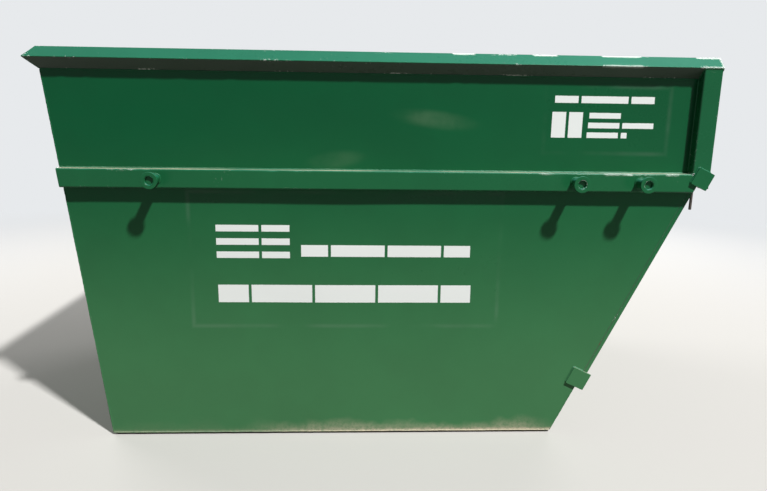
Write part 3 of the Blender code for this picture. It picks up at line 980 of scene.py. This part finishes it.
def finish_piece(work, name, body, paints, replaced=()):
    """Turns a bmesh into a smooth-shaded piece that rides on its body."""
    mesh = bpy.data.meshes.new(name)
    work.to_mesh(mesh)
    work.free()
    for face in mesh.polygons:
        face.use_smooth = True
    for paint in paints:
        mesh.materials.append(paint)
    piece = bpy.data.objects.new(name, mesh)
    bpy.context.scene.collection.objects.link(piece)
    shading = piece.modifiers.new("even_shading", "WEIGHTED_NORMAL")
    shading.weight = 80
    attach(piece, body)
    if replaced:
        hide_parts(*replaced)


def finish_copy(work, node, paints):
    """Finishes a piece that takes the place of the node it was copied from."""
    body = frame["nodes"][node]["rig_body"]
    finish_piece(work, node + "_eased", body, paints, [node])


# %% [markdown]
# The bin is a box with a front that leans out by 6 degrees and a rear that leans by 25. Most
# of what follows is placed along these two slopes, so their directions are worked out once,
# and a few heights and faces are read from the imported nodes.

# %% Slopes and measures
half_floor = 1.067
ground_clearance = 0.010
front_lean = math.radians(6.0)
rear_lean = math.radians(25.2)
front_up = Vector((-math.sin(front_lean), 0, math.cos(front_lean)))
front_out = Vector((-math.cos(front_lean), 0, -math.sin(front_lean)))
slope_up = Vector((math.sin(rear_lean), 0, math.cos(rear_lean)))
slope_out = Vector((math.cos(rear_lean), 0, -math.sin(rear_lean)))
across = Vector((0, 1, 0))
rearward = Vector((1, 0, 0))
upward = Vector((0, 0, 1))
both_sides = ((-1, "near"), (1, "far"))
wall_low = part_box("side_wall_near")[0]
rail_low, rail_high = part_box("side_rail_near")
rim_low, rim_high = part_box("rim_near")
post_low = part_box("corner_post_near")[0]
print("rail from", round(rail_low.z, 4), "to", round(rail_high.z, 4), "m")

# %% [markdown]
# The side sheets are large and thin, and the heat of welding leaves them a little wavy between
# the rail, the rim and the edges. The real wave shows as soft, wandering reflections. The
# copies are cut into small squares, and a slow noise pushes them in and out by a millimetre or
# two. The push fades to nothing at the welded lines, so the sheets still meet their neighbours.

# %% Sheets with a welded wave
wave_size = 0.0022
wave_length = 0.46
wave_gain = 1.6
wave_fade = 0.11
side_seed = 3.0
sheet_square = 0.045
edge_round = 0.0009


def fade(distance, reach=wave_fade):
    """0 at a welded line and 1 well away from it, with soft ends."""
    share = min(max(distance / reach, 0.0), 1.0)
    return share * share * (3 - 2 * share)


def slow_wave(place, seed):
    """A slow noise between about -1 and 1."""
    return noise.noise(place / wave_length + Vector((seed, 0, 0))) * wave_gain


def push(work, direction, seed, size, freedom):
    """Moves every point along a direction by the wave, as far as it is free to move."""
    for vert in work.verts:
        vert.co += direction * (size * slow_wave(vert.co, seed) * freedom(vert.co))


print("one wave is about", wave_length, "m long")

# %% [markdown]
# A side wall is held where the rail, the rim and the corner post are welded to it and along
# its own edges, and it can only swell between them. Its outer face takes the wall's paint and
# the inner face the scraped paint of the load side.

# %% Side walls
def side_freedom(place):
    """How free a side wall's point is: the rail, rim, post and the four edges hold it."""
    foot = Vector((half_floor, 0, ground_clearance))
    flat = Vector((place.x, 0, place.z))
    lines = [
        abs(place.z - rail_low.z),
        abs(place.z - rail_high.z),
        rim_low.z - place.z,
        place.z - ground_clearance,
        -(flat - foot).dot(slope_out),
        -(flat + foot).dot(front_out),
    ]
    if place.z > rail_high.z:
        lines.append(post_low.x - place.x)
    held = 1.0
    for distance in lines:
        held *= fade(distance)
    return 0.0 if rail_low.z < place.z < rail_high.z else held


def paint_by_side(work, direction):
    """Faces along a direction take the first paint and the rest take the second."""
    for face in work.faces:
        face.material_index = 0 if face.normal.dot(direction) > 0.5 else 1


for side, label in both_sides:
    node = "side_wall_" + label
    work = clean_copy(node)
    ease(work, sharp_edges(work), edge_round)
    for direction in (rearward, upward):
        slice_across(work, direction, sheet_square)
    push(work, across * side, side_seed * side, wave_size, side_freedom)
    paint_by_side(work, across * side)
    print(node, "faces:", len(work.faces))
    finish_copy(work, node, [wall_enamel, load_enamel])

# %% [markdown]
# The other sheets are shorter. The front wall, the rear panel, the sill and the floor are held
# along all four of their edges, and get the same treatment with a smaller wave. The door's
# sheet stays flat, so that it never touches the tub when it swings.

# %% The other sheets
panel_wave = 0.0012
first_seed = 20.0
seed_step = 7.0
front_foot = Vector((-half_floor, 0, ground_clearance))
slope_foot = Vector((half_floor, 0, ground_clearance))


def box_freedom(node, up, reach=0.08):
    """A sheet that is held along all four of its edges."""
    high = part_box(node)[1]
    points = [vert.co.dot(up) for vert in frame["nodes"][node].data.vertices]
    bottom, top = min(points), max(points)

    def freedom(place):
        height = place.dot(up)
        sideways = fade(high.y - abs(place.y), reach)
        return fade(height - bottom, reach) * fade(top - height, reach) * sideways

    return freedom


flat_sheets = [
    ("front_wall", front_up, front_out, panel_wave, plain_enamel),
    ("rear_panel", upward, rearward, panel_wave / 2, plain_enamel),
    ("sill_wall", slope_up, slope_out, panel_wave / 2, plain_enamel),
    ("door_sheet", slope_up, slope_out, 0.0, door_enamel),
    ("floor_plate", rearward, -upward, panel_wave, underside),
]
for seed, (node, up, out, size, outer_paint) in enumerate(flat_sheets):
    work = clean_copy(node)
    ease(work, sharp_edges(work), edge_round)
    slice_across(work, up, sheet_square)
    slice_across(work, across, sheet_square)
    push(work, out, first_seed + seed_step * seed, size, box_freedom(node, up))
    paint_by_side(work, out)
    finish_copy(work, node, [outer_paint, load_enamel])
print("flat sheets:", len(flat_sheets))

# %% [markdown]
# The rim and the rail take the knocks. Chains and forks leave small dents along their outer
# corners, a few centimetres long and a millimetre or two deep. Each dent is a soft hollow at a
# seeded random place along the corner, pushed into a finely sliced copy.

# %% Rims and rails with small dents
dent_count = 16
dent_reach = 0.030
dent_depth = 0.0020
dent_squeeze = 0.6
dent_reach_share = (0.5, 1.3)
dent_depth_share = (0.3, 1.0)
rim_dent_run = (-1.2, 1.65)
rail_dent_run = (-1.1, 1.55)
rail_corner_y = 0.7923
section_slice = 0.012
corner_round = 0.0022
small_round = 0.0009
dent_draw = random.Random(5)


def dent_corner(work, run, inward, away_from):
    """Pushes soft hollows into the mesh near one long corner, between two ends."""
    for _ in range(dent_count):
        middle = dent_draw.uniform(*run)
        reach = dent_reach * dent_draw.uniform(*dent_reach_share)
        depth = dent_depth * dent_draw.uniform(*dent_depth_share)
        for vert in work.verts:
            away = away_from(vert.co)
            off = math.hypot((vert.co.x - middle) / reach, away / (reach * dent_squeeze))
            if off < 1:
                vert.co += inward * depth * (1 - off * off) ** 2


def long_corners(work, away_from, tolerance=0.0008):
    """The edges that run along a corner, told by a test of both of their ends."""
    return [e for e in sharp_edges(work) if all(away_from(v.co) < tolerance for v in e.verts)]


for side, label in both_sides:
    tip_y, tip_z = -side * rim_low.y, rim_high.z - (rim_high.z - rim_low.z) / 2

    def rim_corner(place):
        return math.hypot(place.z - tip_z, place.y - tip_y)

    work = clean_copy("rim_" + label)
    ease(work, long_corners(work, rim_corner), corner_round)
    ease(work, sharp_edges(work), small_round)
    slice_across(work, rearward, section_slice)
    dent_corner(work, rim_dent_run, -across * side, rim_corner)
    finish_copy(work, "rim_" + label, [rim_enamel])

    top_y = side * rail_corner_y

    def rail_corner(place):
        return math.hypot(place.z - rail_high.z, place.y - top_y)

    work = clean_copy("side_rail_" + label)
    ease(work, sharp_edges(work), small_round)
    slice_across(work, rearward, section_slice)
    dent_corner(work, rail_dent_run, -across * side - upward, rail_corner)
    finish_copy(work, "side_rail_" + label, [rail_enamel])
print("dents on each corner:", dent_count)

# %% [markdown]
# The shorter sections and plates only need eased edges: the posts, the front rim, the rail
# caps, the stiffeners, the lugs with their torch-cut corners, the sockets and the frame of the
# door. The lugs are the thickest plates and the most handled, so their edges are rounder.

# %% Eased plates and sections
lug_round = 0.0015
eased_plates = [
    ("rim_front", corner_round, rim_enamel),
    ("rear_top_rail", corner_round, plain_enamel),
    ("rear_lintel", corner_round, plain_enamel),
    ("sill_rail", small_round, plain_enamel),
    ("door_top_rail", small_round, door_enamel),
    ("door_bottom_rail", small_round, door_enamel),
    ("door_rib_lower", small_round, door_enamel),
    ("door_rib_upper", small_round, door_enamel),
    ("skid_strip_centre", small_round, scraped_skid),
]
for label in ("near", "far"):
    eased_plates += [
        ("corner_post_" + label, small_round, rail_enamel),
        ("rail_cap_" + label, small_round, rail_enamel),
        ("front_stiffener_" + label, small_round, plain_enamel),
        ("lower_lug_" + label, lug_round, lug_enamel),
        ("upper_lug_" + label, lug_round, lug_enamel),
        ("bolt_socket_" + label, small_round, rail_enamel),
        ("shaft_bracket_" + label, small_round, plain_enamel),
        ("door_jamb_" + label, small_round, load_enamel),
        ("door_stile_" + label, small_round, door_enamel),
        ("bolt_barrel_" + label, small_round, door_enamel),
        ("skid_strip_" + label, small_round, scraped_skid),
    ]
for node, width, paint in eased_plates:
    work = clean_copy(node)
    ease(work, sharp_edges(work), width)
    finish_copy(work, node, [paint])
print("eased plates and sections:", len(eased_plates))

# %% [markdown]
# The pins, discs, knuckles, shaft and bolts are round stock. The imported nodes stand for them
# with a few flat sides, so they are turned afresh: a closed outline of the half section is
# spun round the axis, and its sharp rings are eased like the plates. A full spin with its ends
# merged leaves a closed skin.

# %% Round stock by spinning
turn_steps = 64


def full_spin(work, geom, centre, steps):
    """Spins verts and edges once round the line across the bin through a point."""
    bmesh.ops.spin(
        work,
        geom=geom,
        cent=centre,
        axis=across,
        dvec=(0, 0, 0),
        angle=2 * math.pi,
        steps=steps,
        use_merge=True,
        use_duplicate=False,
    )
    bmesh.ops.remove_doubles(work, verts=work.verts, dist=merge_reach)
    bmesh.ops.recalc_face_normals(work, faces=work.faces)


def middle_of(node):
    low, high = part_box(node)
    return (low + high) / 2


def tube(node, inner, outer, width, mouth=0.0):
    """Thick pipe as long as a node, with eased ends, and maybe countersunk."""
    low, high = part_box(node)
    centre, half = (low + high) / 2, (high.y - low.y) / 2
    outline = [(inner + mouth, -half), (outer, -half), (outer, half), (inner + mouth, half)]
    if mouth:
        outline += [(inner, half - mouth), (inner, mouth - half)]
    work = bmesh.new()
    outward = across.orthogonal().normalized()
    verts = [work.verts.new(centre + outward * r + across * a) for r, a in outline]
    edges = [work.edges.new(pair) for pair in zip(verts, verts[1:] + verts[:1])]
    full_spin(work, verts + edges, centre, turn_steps)
    ease(work, sharp_edges(work), width)
    return work


pin_radius = 0.0212
pin_bore = 0.0172
pin_mouth = 0.0030
pin_round = 0.0006
disc_radius = 0.0365
disc_round = 0.0014
shaft_radius = 0.010
shaft_play = 0.0003
knuckle_radius = 0.017
knuckle_round = 0.0010
for label in ("near", "far"):
    for place in ("front", "middle", "rear"):
        pin, disc = f"lift_pin_{place}_{label}", f"lift_disc_{place}_{label}"
        work = tube(pin, pin_bore, pin_radius, pin_round, pin_mouth)
        finish_copy(work, pin, [mouth_enamel])
        finish_copy(tube(disc, pin_radius, disc_radius, disc_round), disc, [pin_enamel])
for place in ("near", "centre", "far"):
    knuckle = "door_knuckle_" + place
    work = tube(knuckle, shaft_radius + shaft_play, knuckle_radius, knuckle_round)
    finish_copy(work, knuckle, [door_enamel])
print("turned pins, discs and knuckles:", 15)

# %% [markdown]
# The hinge shaft and the lock bolts are plain round bar. A cone with equal ends is a bar, and
# its sharp rings are eased. A bolt's handle is a second bar that hangs from the first: their
# meshes overlap, as a welded handle does, and are kept in one piece.

# %% Shaft and lock bolts
bolt_radius = 0.008
handle_radius = 0.0065
rod_round = 0.0015
handle_place = 0.684


def pointed(place, run):
    """A place whose z axis points along a run."""
    return Matrix.Translation(place) @ run.to_track_quat("Z", "Y").to_matrix().to_4x4()


def bar(radius, length, sides, matrix):
    """A round bar with sharp ends."""
    work = bmesh.new()
    bmesh.ops.create_cone(
        work,
        cap_ends=True,
        segments=sides,
        radius1=radius,
        radius2=radius,
        depth=length,
        matrix=matrix,
    )
    return work


def rod(radius, start, end):
    """A solid round bar with eased ends between two points."""
    run = end - start
    work = bar(radius, run.length, turn_steps // 2, pointed((start + end) / 2, run))
    ease(work, sharp_edges(work), rod_round)
    return work


def take_in(work, other):
    """Adds another bmesh's shape to this one."""
    carried = bpy.data.meshes.new("carried")
    other.to_mesh(carried)
    other.free()
    work.from_mesh(carried)
    bpy.data.meshes.remove(carried)


low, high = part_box("hinge_shaft")
middle = middle_of("hinge_shaft")
ends = [Vector((middle.x, y, middle.z)) for y in (low.y, high.y)]
finish_copy(rod(shaft_radius, *ends), "hinge_shaft", [greased_steel])
for side, label in both_sides:
    node = "lock_bolt_" + label
    low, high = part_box(node)
    axis_x, axis_z, handle_y = (low.x + high.x) / 2, high.z - bolt_radius, side * handle_place
    ends = [Vector((axis_x, y, axis_z)) for y in sorted((low.y, high.y), key=abs)]
    work = rod(bolt_radius, *ends)
    ends = [Vector((axis_x, handle_y, z)) for z in (axis_z, low.z)]
    take_in(work, rod(handle_radius, *ends))
    finish_copy(work, node, [greased_steel])
print("shaft, and bolts with handles:", 3)

# %% [markdown]
# The bores of the lifting pins are shallow: a round plate closes each pipe a little way in, so
# that no water runs into the rail. The plates are cut from the same bar as the rods above.

# %% Plates in the pins' bores
plug_depth = 0.0110
plug_length = 0.0050
plug_play = 0.0002
for side, label in both_sides:
    work = bmesh.new()
    for place in ("front", "middle", "rear"):
        pin = f"lift_pin_{place}_{label}"
        low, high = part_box(pin)
        start = middle_of(pin)
        start.y = side * (max(abs(low.y), abs(high.y)) - plug_depth)
        end = start - across * side * plug_length
        take_in(work, rod(pin_bore - plug_play, start, end))
    finish_piece(work, "pin_plugs_" + label, "tub", [mouth_enamel])
print("plates in the bores:", 6)

# %% [markdown]
# A welded bin shows its beads: a rope of small overlapping ripples wherever two pieces meet.
# Long seams are welded all along, and stiffeners only in short stitches. Each bead starts as
# a rod between two points, half sunk in the corner. Its long edges are subdivided into rings,
# and each ring swells and shrinks once in every ripple, with a little noise.

# %% Straight beads
bead_sides = 8
bead_pitch = 0.0068
bead_swell = 0.15
bead_noise = 0.25
bead_grain = 0.013
bead_end = 0.55
bead_wander = 0.0005
wander_length = 0.05


def swell(distance, place):
    """How much a bead's ring grows at a distance along it."""
    ripple = math.cos(2 * math.pi * distance / bead_pitch)
    return 1 + bead_swell * ripple + bead_noise * noise.noise(place / bead_grain)


def bead(work, start, end, radius):
    """Adds one straight bead between two points."""
    run = end - start
    place = pointed(start, run)
    rope = bar(radius, run.length, bead_sides, Matrix.Translation((0, 0, run.length / 2)))
    rises = [(edge, abs(edge.verts[0].co.z - edge.verts[1].co.z)) for edge in rope.edges]
    long_edges = [edge for edge, rise in rises if rise > run.length / 2]
    cuts = max(2 * round(run.length / bead_pitch) - 1, 3)
    bmesh.ops.subdivide_edges(rope, edges=long_edges, cuts=cuts, use_grid_fill=True)
    for vert in rope.verts:
        along = vert.co.z
        size = swell(along, place @ vert.co)
        if min(along, run.length - along) < merge_reach:
            size *= bead_end
        drift = bead_wander * noise.noise(place @ (upward * along) / wander_length)
        vert.co = place @ Vector((vert.co.x * size + drift, vert.co.y * size + drift, along))
    take_in(work, rope)


print("one ripple of a bead in millimetres:", 1000 * bead_pitch)

# %% [markdown]
# A pin is welded all round. Its bead is spun from a small circle round the pin's axis, with a
# whole number of ripples to the turn, so that the rope closes on itself without a step.

# %% Ring beads
def ring_bead(work, centre, ring, radius):
    """Adds a bead that goes once round the line across the bin through a point."""
    outward = across.orthogonal().normalized()
    rope = bmesh.new()
    tilt = Matrix((outward, across, outward.cross(across))).transposed().to_4x4()
    circle = bmesh.ops.create_circle(
        rope,
        cap_ends=False,
        segments=bead_sides,
        radius=radius,
        matrix=Matrix.Translation(centre + outward * ring) @ tilt,
    )
    rounds = max(round(2 * math.pi * ring / bead_pitch), 8)
    full_spin(rope, circle["verts"] + rope.edges[:], centre, 2 * rounds)
    side = across.cross(outward)
    for vert in rope.verts:
        arm = vert.co - centre
        turn = math.atan2(arm.dot(side), arm.dot(outward))
        core = centre + (outward * math.cos(turn) + side * math.sin(turn)) * ring
        pitches = rounds * turn / (2 * math.pi)
        vert.co = core + (vert.co - core) * swell(pitches * bead_pitch, vert.co)
    take_in(work, rope)


print("sides of a bead's rope:", bead_sides)

# %% [markdown]
# Long stiffeners are only stitched, which saves heat and keeps the sheet flat. The stitches
# are spread evenly from end to end. Three small helpers give places on the leaning ends.

# %% Stitches and places on the slopes
stitch_run = 0.060
stitch_rest = 0.150


def stitches(work, start, end, radius):
    """Adds short beads with rests between them."""
    way = end - start
    count = max(round((way.length + stitch_rest) / (stitch_run + stitch_rest)), 1)
    step = (way.length - stitch_run) / max(count - 1, 1)
    for number in range(count):
        first = start + way.normalized() * step * number
        bead(work, first, first + way.normalized() * min(stitch_run, way.length), radius)


def front_x(z):
    """Where the front wall's outer face stands at a height."""
    return -half_floor - math.tan(front_lean) * (z - ground_clearance)


def slope_x(z):
    """Where the rear slope stands at a height."""
    return half_floor + math.tan(rear_lean) * (z - ground_clearance)


def on_slope(up, out, y):
    """A point by its run up the rear slope and its distance out from it."""
    return slope_foot + slope_up * up + slope_out * out + across * y


print("front at the top:", round(front_x(rim_high.z), 4), "m")

# %% [markdown]
# Along each side the wall is welded to the rail, the rim, the post, the floor and both ends.
# The lugs are welded along the edges that lie on the wall or the rail, and the pins and their
# discs all round. The places are those of the corners where two surfaces meet.

# %% Beads along the sides
wall_face = -wall_low.y
rail_face = -rail_low.y
rear_face = rim_high.x
rim_tip_z = (rim_high.z + rim_low.z) / 2
edge_bead_y = 0.7497
corner_bead_y = 0.7482
foot_bead_z = 0.0125
lip_bead_z = 1.7955
rim_foot = (0.7515, 1.7093)
rim_tip = (0.7915, 1.7493)
post_top = (0.7920, 1.7495)
front_corner = (0.012, 1.706)
rear_corner = (0.003, 0.311)
clear_of_door = 0.008
lug_bead = 0.0036
lug_lift = 0.0008
upper_lug_share = (0.46, 0.80)
lower_lug_share = (0.56, 0.56)
wall_outer_y = 0.7500
pin_face_y = 0.7926
pin_ring = (pin_radius + 0.0012, 0.0036)
disc_ring = (pin_radius + 0.0010, 0.0028)
behind_disc = 0.0054


def level_line(x_from, x_to, y, z, radius):
    """A bead's two ends at one height, and its radius."""
    return Vector((x_from, y, z)), Vector((x_to, y, z)), radius


def lug_beads(work, node, side, face, open_share):
    """Beads along a lug's inner edge and as far as it lies on what carries it."""
    points = [vert.co for vert in frame["nodes"][node].data.vertices]
    ups = [(point - slope_foot).dot(slope_up) for point in points]
    outs = [(point - slope_foot).dot(slope_out) for point in points]
    corner = {}
    for up, high in ((-1, min(ups)), (1, max(ups))):
        for out, far in ((-1, min(outs)), (1, max(outs))):
            corner[up, out] = on_slope(high, far, side * (face + lug_lift))
    bead(work, corner[-1, -1], corner[1, -1], lug_bead)
    for up, share in zip((-1, 1), open_share):
        bead(work, corner[up, -1], corner[up, -1].lerp(corner[up, 1], share), lug_bead)


for side, label in both_sides:
    work = bmesh.new()
    post_x, top, bottom = post_low.x, rail_high.z, rail_low.z
    wall_y, edge_y, corner_y = side * wall_face, side * edge_bead_y, side * corner_bead_y
    front_ends = [Vector((front_x(z), corner_y, z)) for z in front_corner]
    rear_ends = [on_slope(up, 0, corner_y) for up in rear_corner]
    lines = [
        level_line(front_x(top), post_x, wall_y, top, 0.0042),
        level_line(front_x(bottom), slope_x(bottom) - clear_of_door, wall_y, bottom, 0.0040),
        level_line(front_x(rim_low.z), post_x, wall_y, rim_low.z, 0.0036),
        level_line(front_x(lip_bead_z), rear_face, edge_y, lip_bead_z, 0.0030),
        level_line(-half_floor, half_floor, edge_y, foot_bead_z, 0.0032),
        (*front_ends, 0.0034),
        (*rear_ends, 0.0032),
    ]
    for x, radius in ((post_x, 0.0038), (rear_face, 0.0030)):
        lines.append((Vector((x, wall_y, top)), Vector((x, wall_y, rim_low.z)), radius))
    for x, radius in ((post_x, 0.0030), (rear_face, 0.0024)):
        ends = [Vector((x, side * y, z)) for y, z in (rim_foot, rim_tip)]
        lines.append((*ends, radius))
    lines.append(level_line(post_x, rear_face, side * post_top[0], post_top[1], 0.0028))
    lines.append((Vector((post_x, wall_y, top)), Vector((post_x, side * rail_face, top)), 0.0032))
    for start, end, radius in lines:
        bead(work, start, end, radius)
    lug_beads(work, "upper_lug_" + label, side, rail_corner_y, upper_lug_share)
    lug_beads(work, "lower_lug_" + label, side, wall_outer_y, lower_lug_share)
    for place in ("front", "middle", "rear"):
        pin = middle_of(f"lift_pin_{place}_{label}")
        centre = Vector((pin.x, side * pin_face_y, pin.z))
        ring_bead(work, centre, *pin_ring)
        disc_y = abs(middle_of(f"lift_disc_{place}_{label}").y)
        centre = Vector((pin.x, side * (disc_y - behind_disc), pin.z))
        ring_bead(work, centre, *disc_ring)
    print("beads on the", label, "side:", len(lines), "faces:", len(work.faces))
    finish_piece(work, "welds_" + label, "tub", [weld_enamel])

# %% [markdown]
# The front wall has a bead across its foot and two along the rim, stitches along both sides
# of its stiffeners, and beads down the mitres at the rim's two corners.

# %% Beads at the front end
half_wide = 0.745
stiffener_edges = (0.285, 0.345)
stiffener_foot = 0.075
stiffener_run = 1.61
bin_top = 1.8
mitre_lip_in, mitre_lip_y, mitre_lip_z = 0.002, 0.7490, 1.7962
mitre_tip_in, mitre_tip_y = 0.0022, 0.7945
mitre_foot_y, mitre_foot_up = 0.7503, 0.001


def cross_bead(work, x, z, half, radius):
    """A bead straight across the bin."""
    bead(work, Vector((x, -half, z)), Vector((x, half, z)), radius)


work = bmesh.new()
for side in (-1, 1):
    lip = Vector((front_x(bin_top) + mitre_lip_in, side * mitre_lip_y, mitre_lip_z))
    tip = Vector((rim_low.x + mitre_tip_in, side * mitre_tip_y, rim_tip_z))
    foot = Vector((front_x(rim_low.z), side * mitre_foot_y, rim_low.z + mitre_foot_up))
    bead(work, lip, tip, 0.0024)
    bead(work, tip, foot, 0.0024)
    for y in stiffener_edges:
        start = front_foot + front_up * stiffener_foot + across * side * y
        stitches(work, start, start + front_up * stiffener_run, 0.0034)
for z, radius in ((foot_bead_z, 0.0032), (rim_low.z, 0.0036), (lip_bead_z, 0.0030)):
    cross_bead(work, front_x(z), z, half_wide, radius)
print("front end, faces:", len(work.faces))
finish_piece(work, "welds_front", "tub", [weld_enamel])

# %% [markdown]
# Inside, a bead runs round the whole floor and up the corners, because the tub has to hold
# sand and rubble. The jambs beside the door are stitched. These beads wear the paint of the
# load side, scraped like the sheets next to them.

# %% Beads inside the tub
inner = 0.7458
floor_top = 0.0162
floor_bead = 0.0042
front_bead_run = 1.782
sill_bead = (0.012, 0.330)
sill_bead_out = -0.0044
jamb_stitches = (0.36, 0.60, 0.84, 1.08)
jamb_run = 0.09
jamb_out = -0.0063
panel_inner_x = 1.6984
panel_inner_half = 0.742
front_inner = front_x(floor_top) + floor_bead
rear_inner = half_floor - floor_bead


def slope_bead(work, up_from, up_to, out, y, radius):
    """A bead that runs up the rear slope."""
    bead(work, on_slope(up_from, out, y), on_slope(up_to, out, y), radius)


work = bmesh.new()
for side in (-1, 1):
    start = Vector((front_inner, side * inner, floor_top))
    bead(work, start, Vector((rear_inner, side * inner, floor_top)), floor_bead)
    bead(work, start, start + front_up * front_bead_run, 0.0038)
    slope_bead(work, *sill_bead, sill_bead_out, side * inner, 0.0038)
    for up in jamb_stitches:
        slope_bead(work, up, up + jamb_run, jamb_out, side * inner, 0.0030)
for x in (front_inner, rear_inner):
    cross_bead(work, x, floor_top, inner, floor_bead)
for z in (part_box("rear_lintel")[1].z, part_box("rear_top_rail")[0].z):
    cross_bead(work, panel_inner_x, z, panel_inner_half, 0.0036)
print("inside, faces:", len(work.faces))
finish_piece(work, "welds_inside", "tub", [load_enamel])

# %% [markdown]
# At the rear the upper panel is welded under its rail and the sill to the floor. The sill
# rail that carries the hinge is stitched, its brackets have short beads, and the shaft has a
# ring at each end.

# %% Beads at the rear end
panel_top_z = 1.7081
panel_half = 0.748
sill_rail_foot, sill_rail_top = 0.2157, 0.2762
sill_rail_out = 0.0006
sill_rail_half = 0.625
bracket_sides = (0.294, 0.306)
bracket_run = (0.004, 0.035)
shaft_end_y = 0.7488
shaft_ring = (shaft_radius + 0.0008, 0.0022)


def level_ends(up, out, half):
    """The two ends of a line straight across the rear slope."""
    return on_slope(up, out, -half), on_slope(up, out, half)


work = bmesh.new()
cross_bead(work, rear_face, panel_top_z, panel_half, 0.0030)
cross_bead(work, half_floor, foot_bead_z, half_wide, 0.0032)
stitches(work, *level_ends(sill_rail_foot, sill_rail_out, sill_rail_half), 0.0032)
shaft = middle_of("hinge_shaft")
for side in (-1, 1):
    for y in bracket_sides:
        bead(work, *[on_slope(sill_rail_top, out, side * y) for out in bracket_run], 0.0024)
    centre = Vector((shaft.x, side * shaft_end_y, shaft.z))
    ring_bead(work, centre, *shaft_ring)
print("rear end, faces:", len(work.faces))
finish_piece(work, "welds_rear", "tub", [weld_enamel])

# %% [markdown]
# The door is a sheet on a frame. Its stiles, rails and ribs are stitched to the sheet, and
# the knuckles and the bolt barrels have short full beads. They ride on the door's body.

# %% Beads on the door
door_bottom = 0.3233
sheet_out = 0.0046
frame_width = 0.050
frame_y = 0.6988
frame_half = 0.69
corner_rest = 0.01
rib_edges = (-0.030, 0.030)
rib_half = 0.66
rib_out = 0.006
rib_height = 0.030
knuckle_foot = 0.3238
knuckle_half = 0.048
knuckle_outs = (0.0070, 0.0226)
barrel_out = 0.0228
barrel_ends = (0.607, 0.718)
barrel_sides = (-0.0068, 0.0068)
barrel_run = 0.025


def up_of(point):
    """How far up the rear slope a point lies."""
    return (point - slope_foot).dot(slope_up)


work = bmesh.new()
sheet_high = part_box("door_sheet")[1]
door_top = up_of(Vector((sheet_high.x, 0, sheet_high.z)))
frame_low, frame_high = door_bottom + frame_width, door_top - frame_width
rib_middles = [up_of(middle_of(node)) for node in ("door_rib_lower", "door_rib_upper")]
rib_lines = [middle + edge for middle in rib_middles for edge in rib_edges]
for side in (-1, 1):
    y = side * frame_y
    start = on_slope(frame_low + corner_rest, sheet_out, y)
    stitches(work, start, on_slope(frame_high - corner_rest, sheet_out, y), 0.0030)
    for up in rib_lines:
        start = on_slope(up, rib_out, y)
        bead(work, start, start + slope_out * rib_height, 0.0028)
for up in (frame_low, frame_high):
    stitches(work, *level_ends(up, sheet_out, frame_half), 0.0030)
for up in rib_lines:
    stitches(work, *level_ends(up, sheet_out, rib_half), 0.0030)
for place in ("near", "centre", "far"):
    y = middle_of("door_knuckle_" + place).y
    for out in knuckle_outs:
        start = on_slope(knuckle_foot, out, y - knuckle_half)
        bead(work, start, on_slope(knuckle_foot, out, y + knuckle_half), 0.0028)
barrel_up = up_of(middle_of("bolt_barrel_near"))
for side in (-1, 1):
    for y in barrel_ends:
        for off in barrel_sides:
            start = on_slope(barrel_up + off, barrel_out, side * y)
            bead(work, start, start + across * side * barrel_run, 0.0026)
print("door, faces:", len(work.faces))
finish_piece(work, "welds_door", "door", [door_enamel])

# %% [markdown]
# Small closing plates fill the open ends at the rear: a triangle inside each rim angle and a
# rectangle inside each rail. They keep water and wasps out of the hollow sections. Each starts
# as one face from its corners, which is then extruded by the thickness of the plate.

# %% Closing plates
closing_plate = 0.003
closing_inset = 0.001
closing_round = 0.0005
closing_gap = 0.0003
closing_drop = 0.002
rail_wall = 0.005
rim_wall = rail_wall * math.sqrt(2)
rim_inner_y = 0.7503
rim_cut = 0.0002
rail_inner_y = 0.7505


def closing_piece(name, corners, inward):
    """A plate from its outer corners, as thick as the closing plate, with eased edges."""
    work = bmesh.new()
    face = work.faces.new([work.verts.new(corner + inward * closing_inset) for corner in corners])
    extruded = bmesh.ops.extrude_face_region(work, geom=[face])
    moved = [item for item in extruded["geom"] if isinstance(item, bmesh.types.BMVert)]
    bmesh.ops.translate(work, verts=moved, vec=inward * closing_plate)
    bmesh.ops.recalc_face_normals(work, faces=work.faces)
    ease(work, sharp_edges(work), closing_round)
    finish_piece(work, name, "tub", [pin_enamel])


for side, label in both_sides:
    reach = (rim_high.z - rim_low.z) / 2 - rim_wall - closing_gap
    triangle = [(rim_cut, reach), (reach, 0), (rim_cut, -reach)]
    corners = [Vector((rear_face, side * (rim_inner_y + y), rim_tip_z + z)) for y, z in triangle]
    closing_piece("rim_end_plate_" + label, corners, -rearward)
    low_z, high_z = rail_low.z + rail_wall, rail_high.z - rail_wall
    low_up = (low_z - ground_clearance) / slope_up.z + closing_gap
    high_up = (high_z - ground_clearance) / slope_up.z - closing_drop
    inner_y, outer_y = rail_inner_y, rail_face - rail_wall - closing_gap
    rectangle = [(low_up, inner_y), (high_up, inner_y), (high_up, outer_y), (low_up, outer_y)]
    corners = [on_slope(up, 0, side * y) for up, y in rectangle]
    closing_piece("rail_end_plate_" + label, corners, -slope_out)
print("closing plates:", 4)

# %% [markdown]
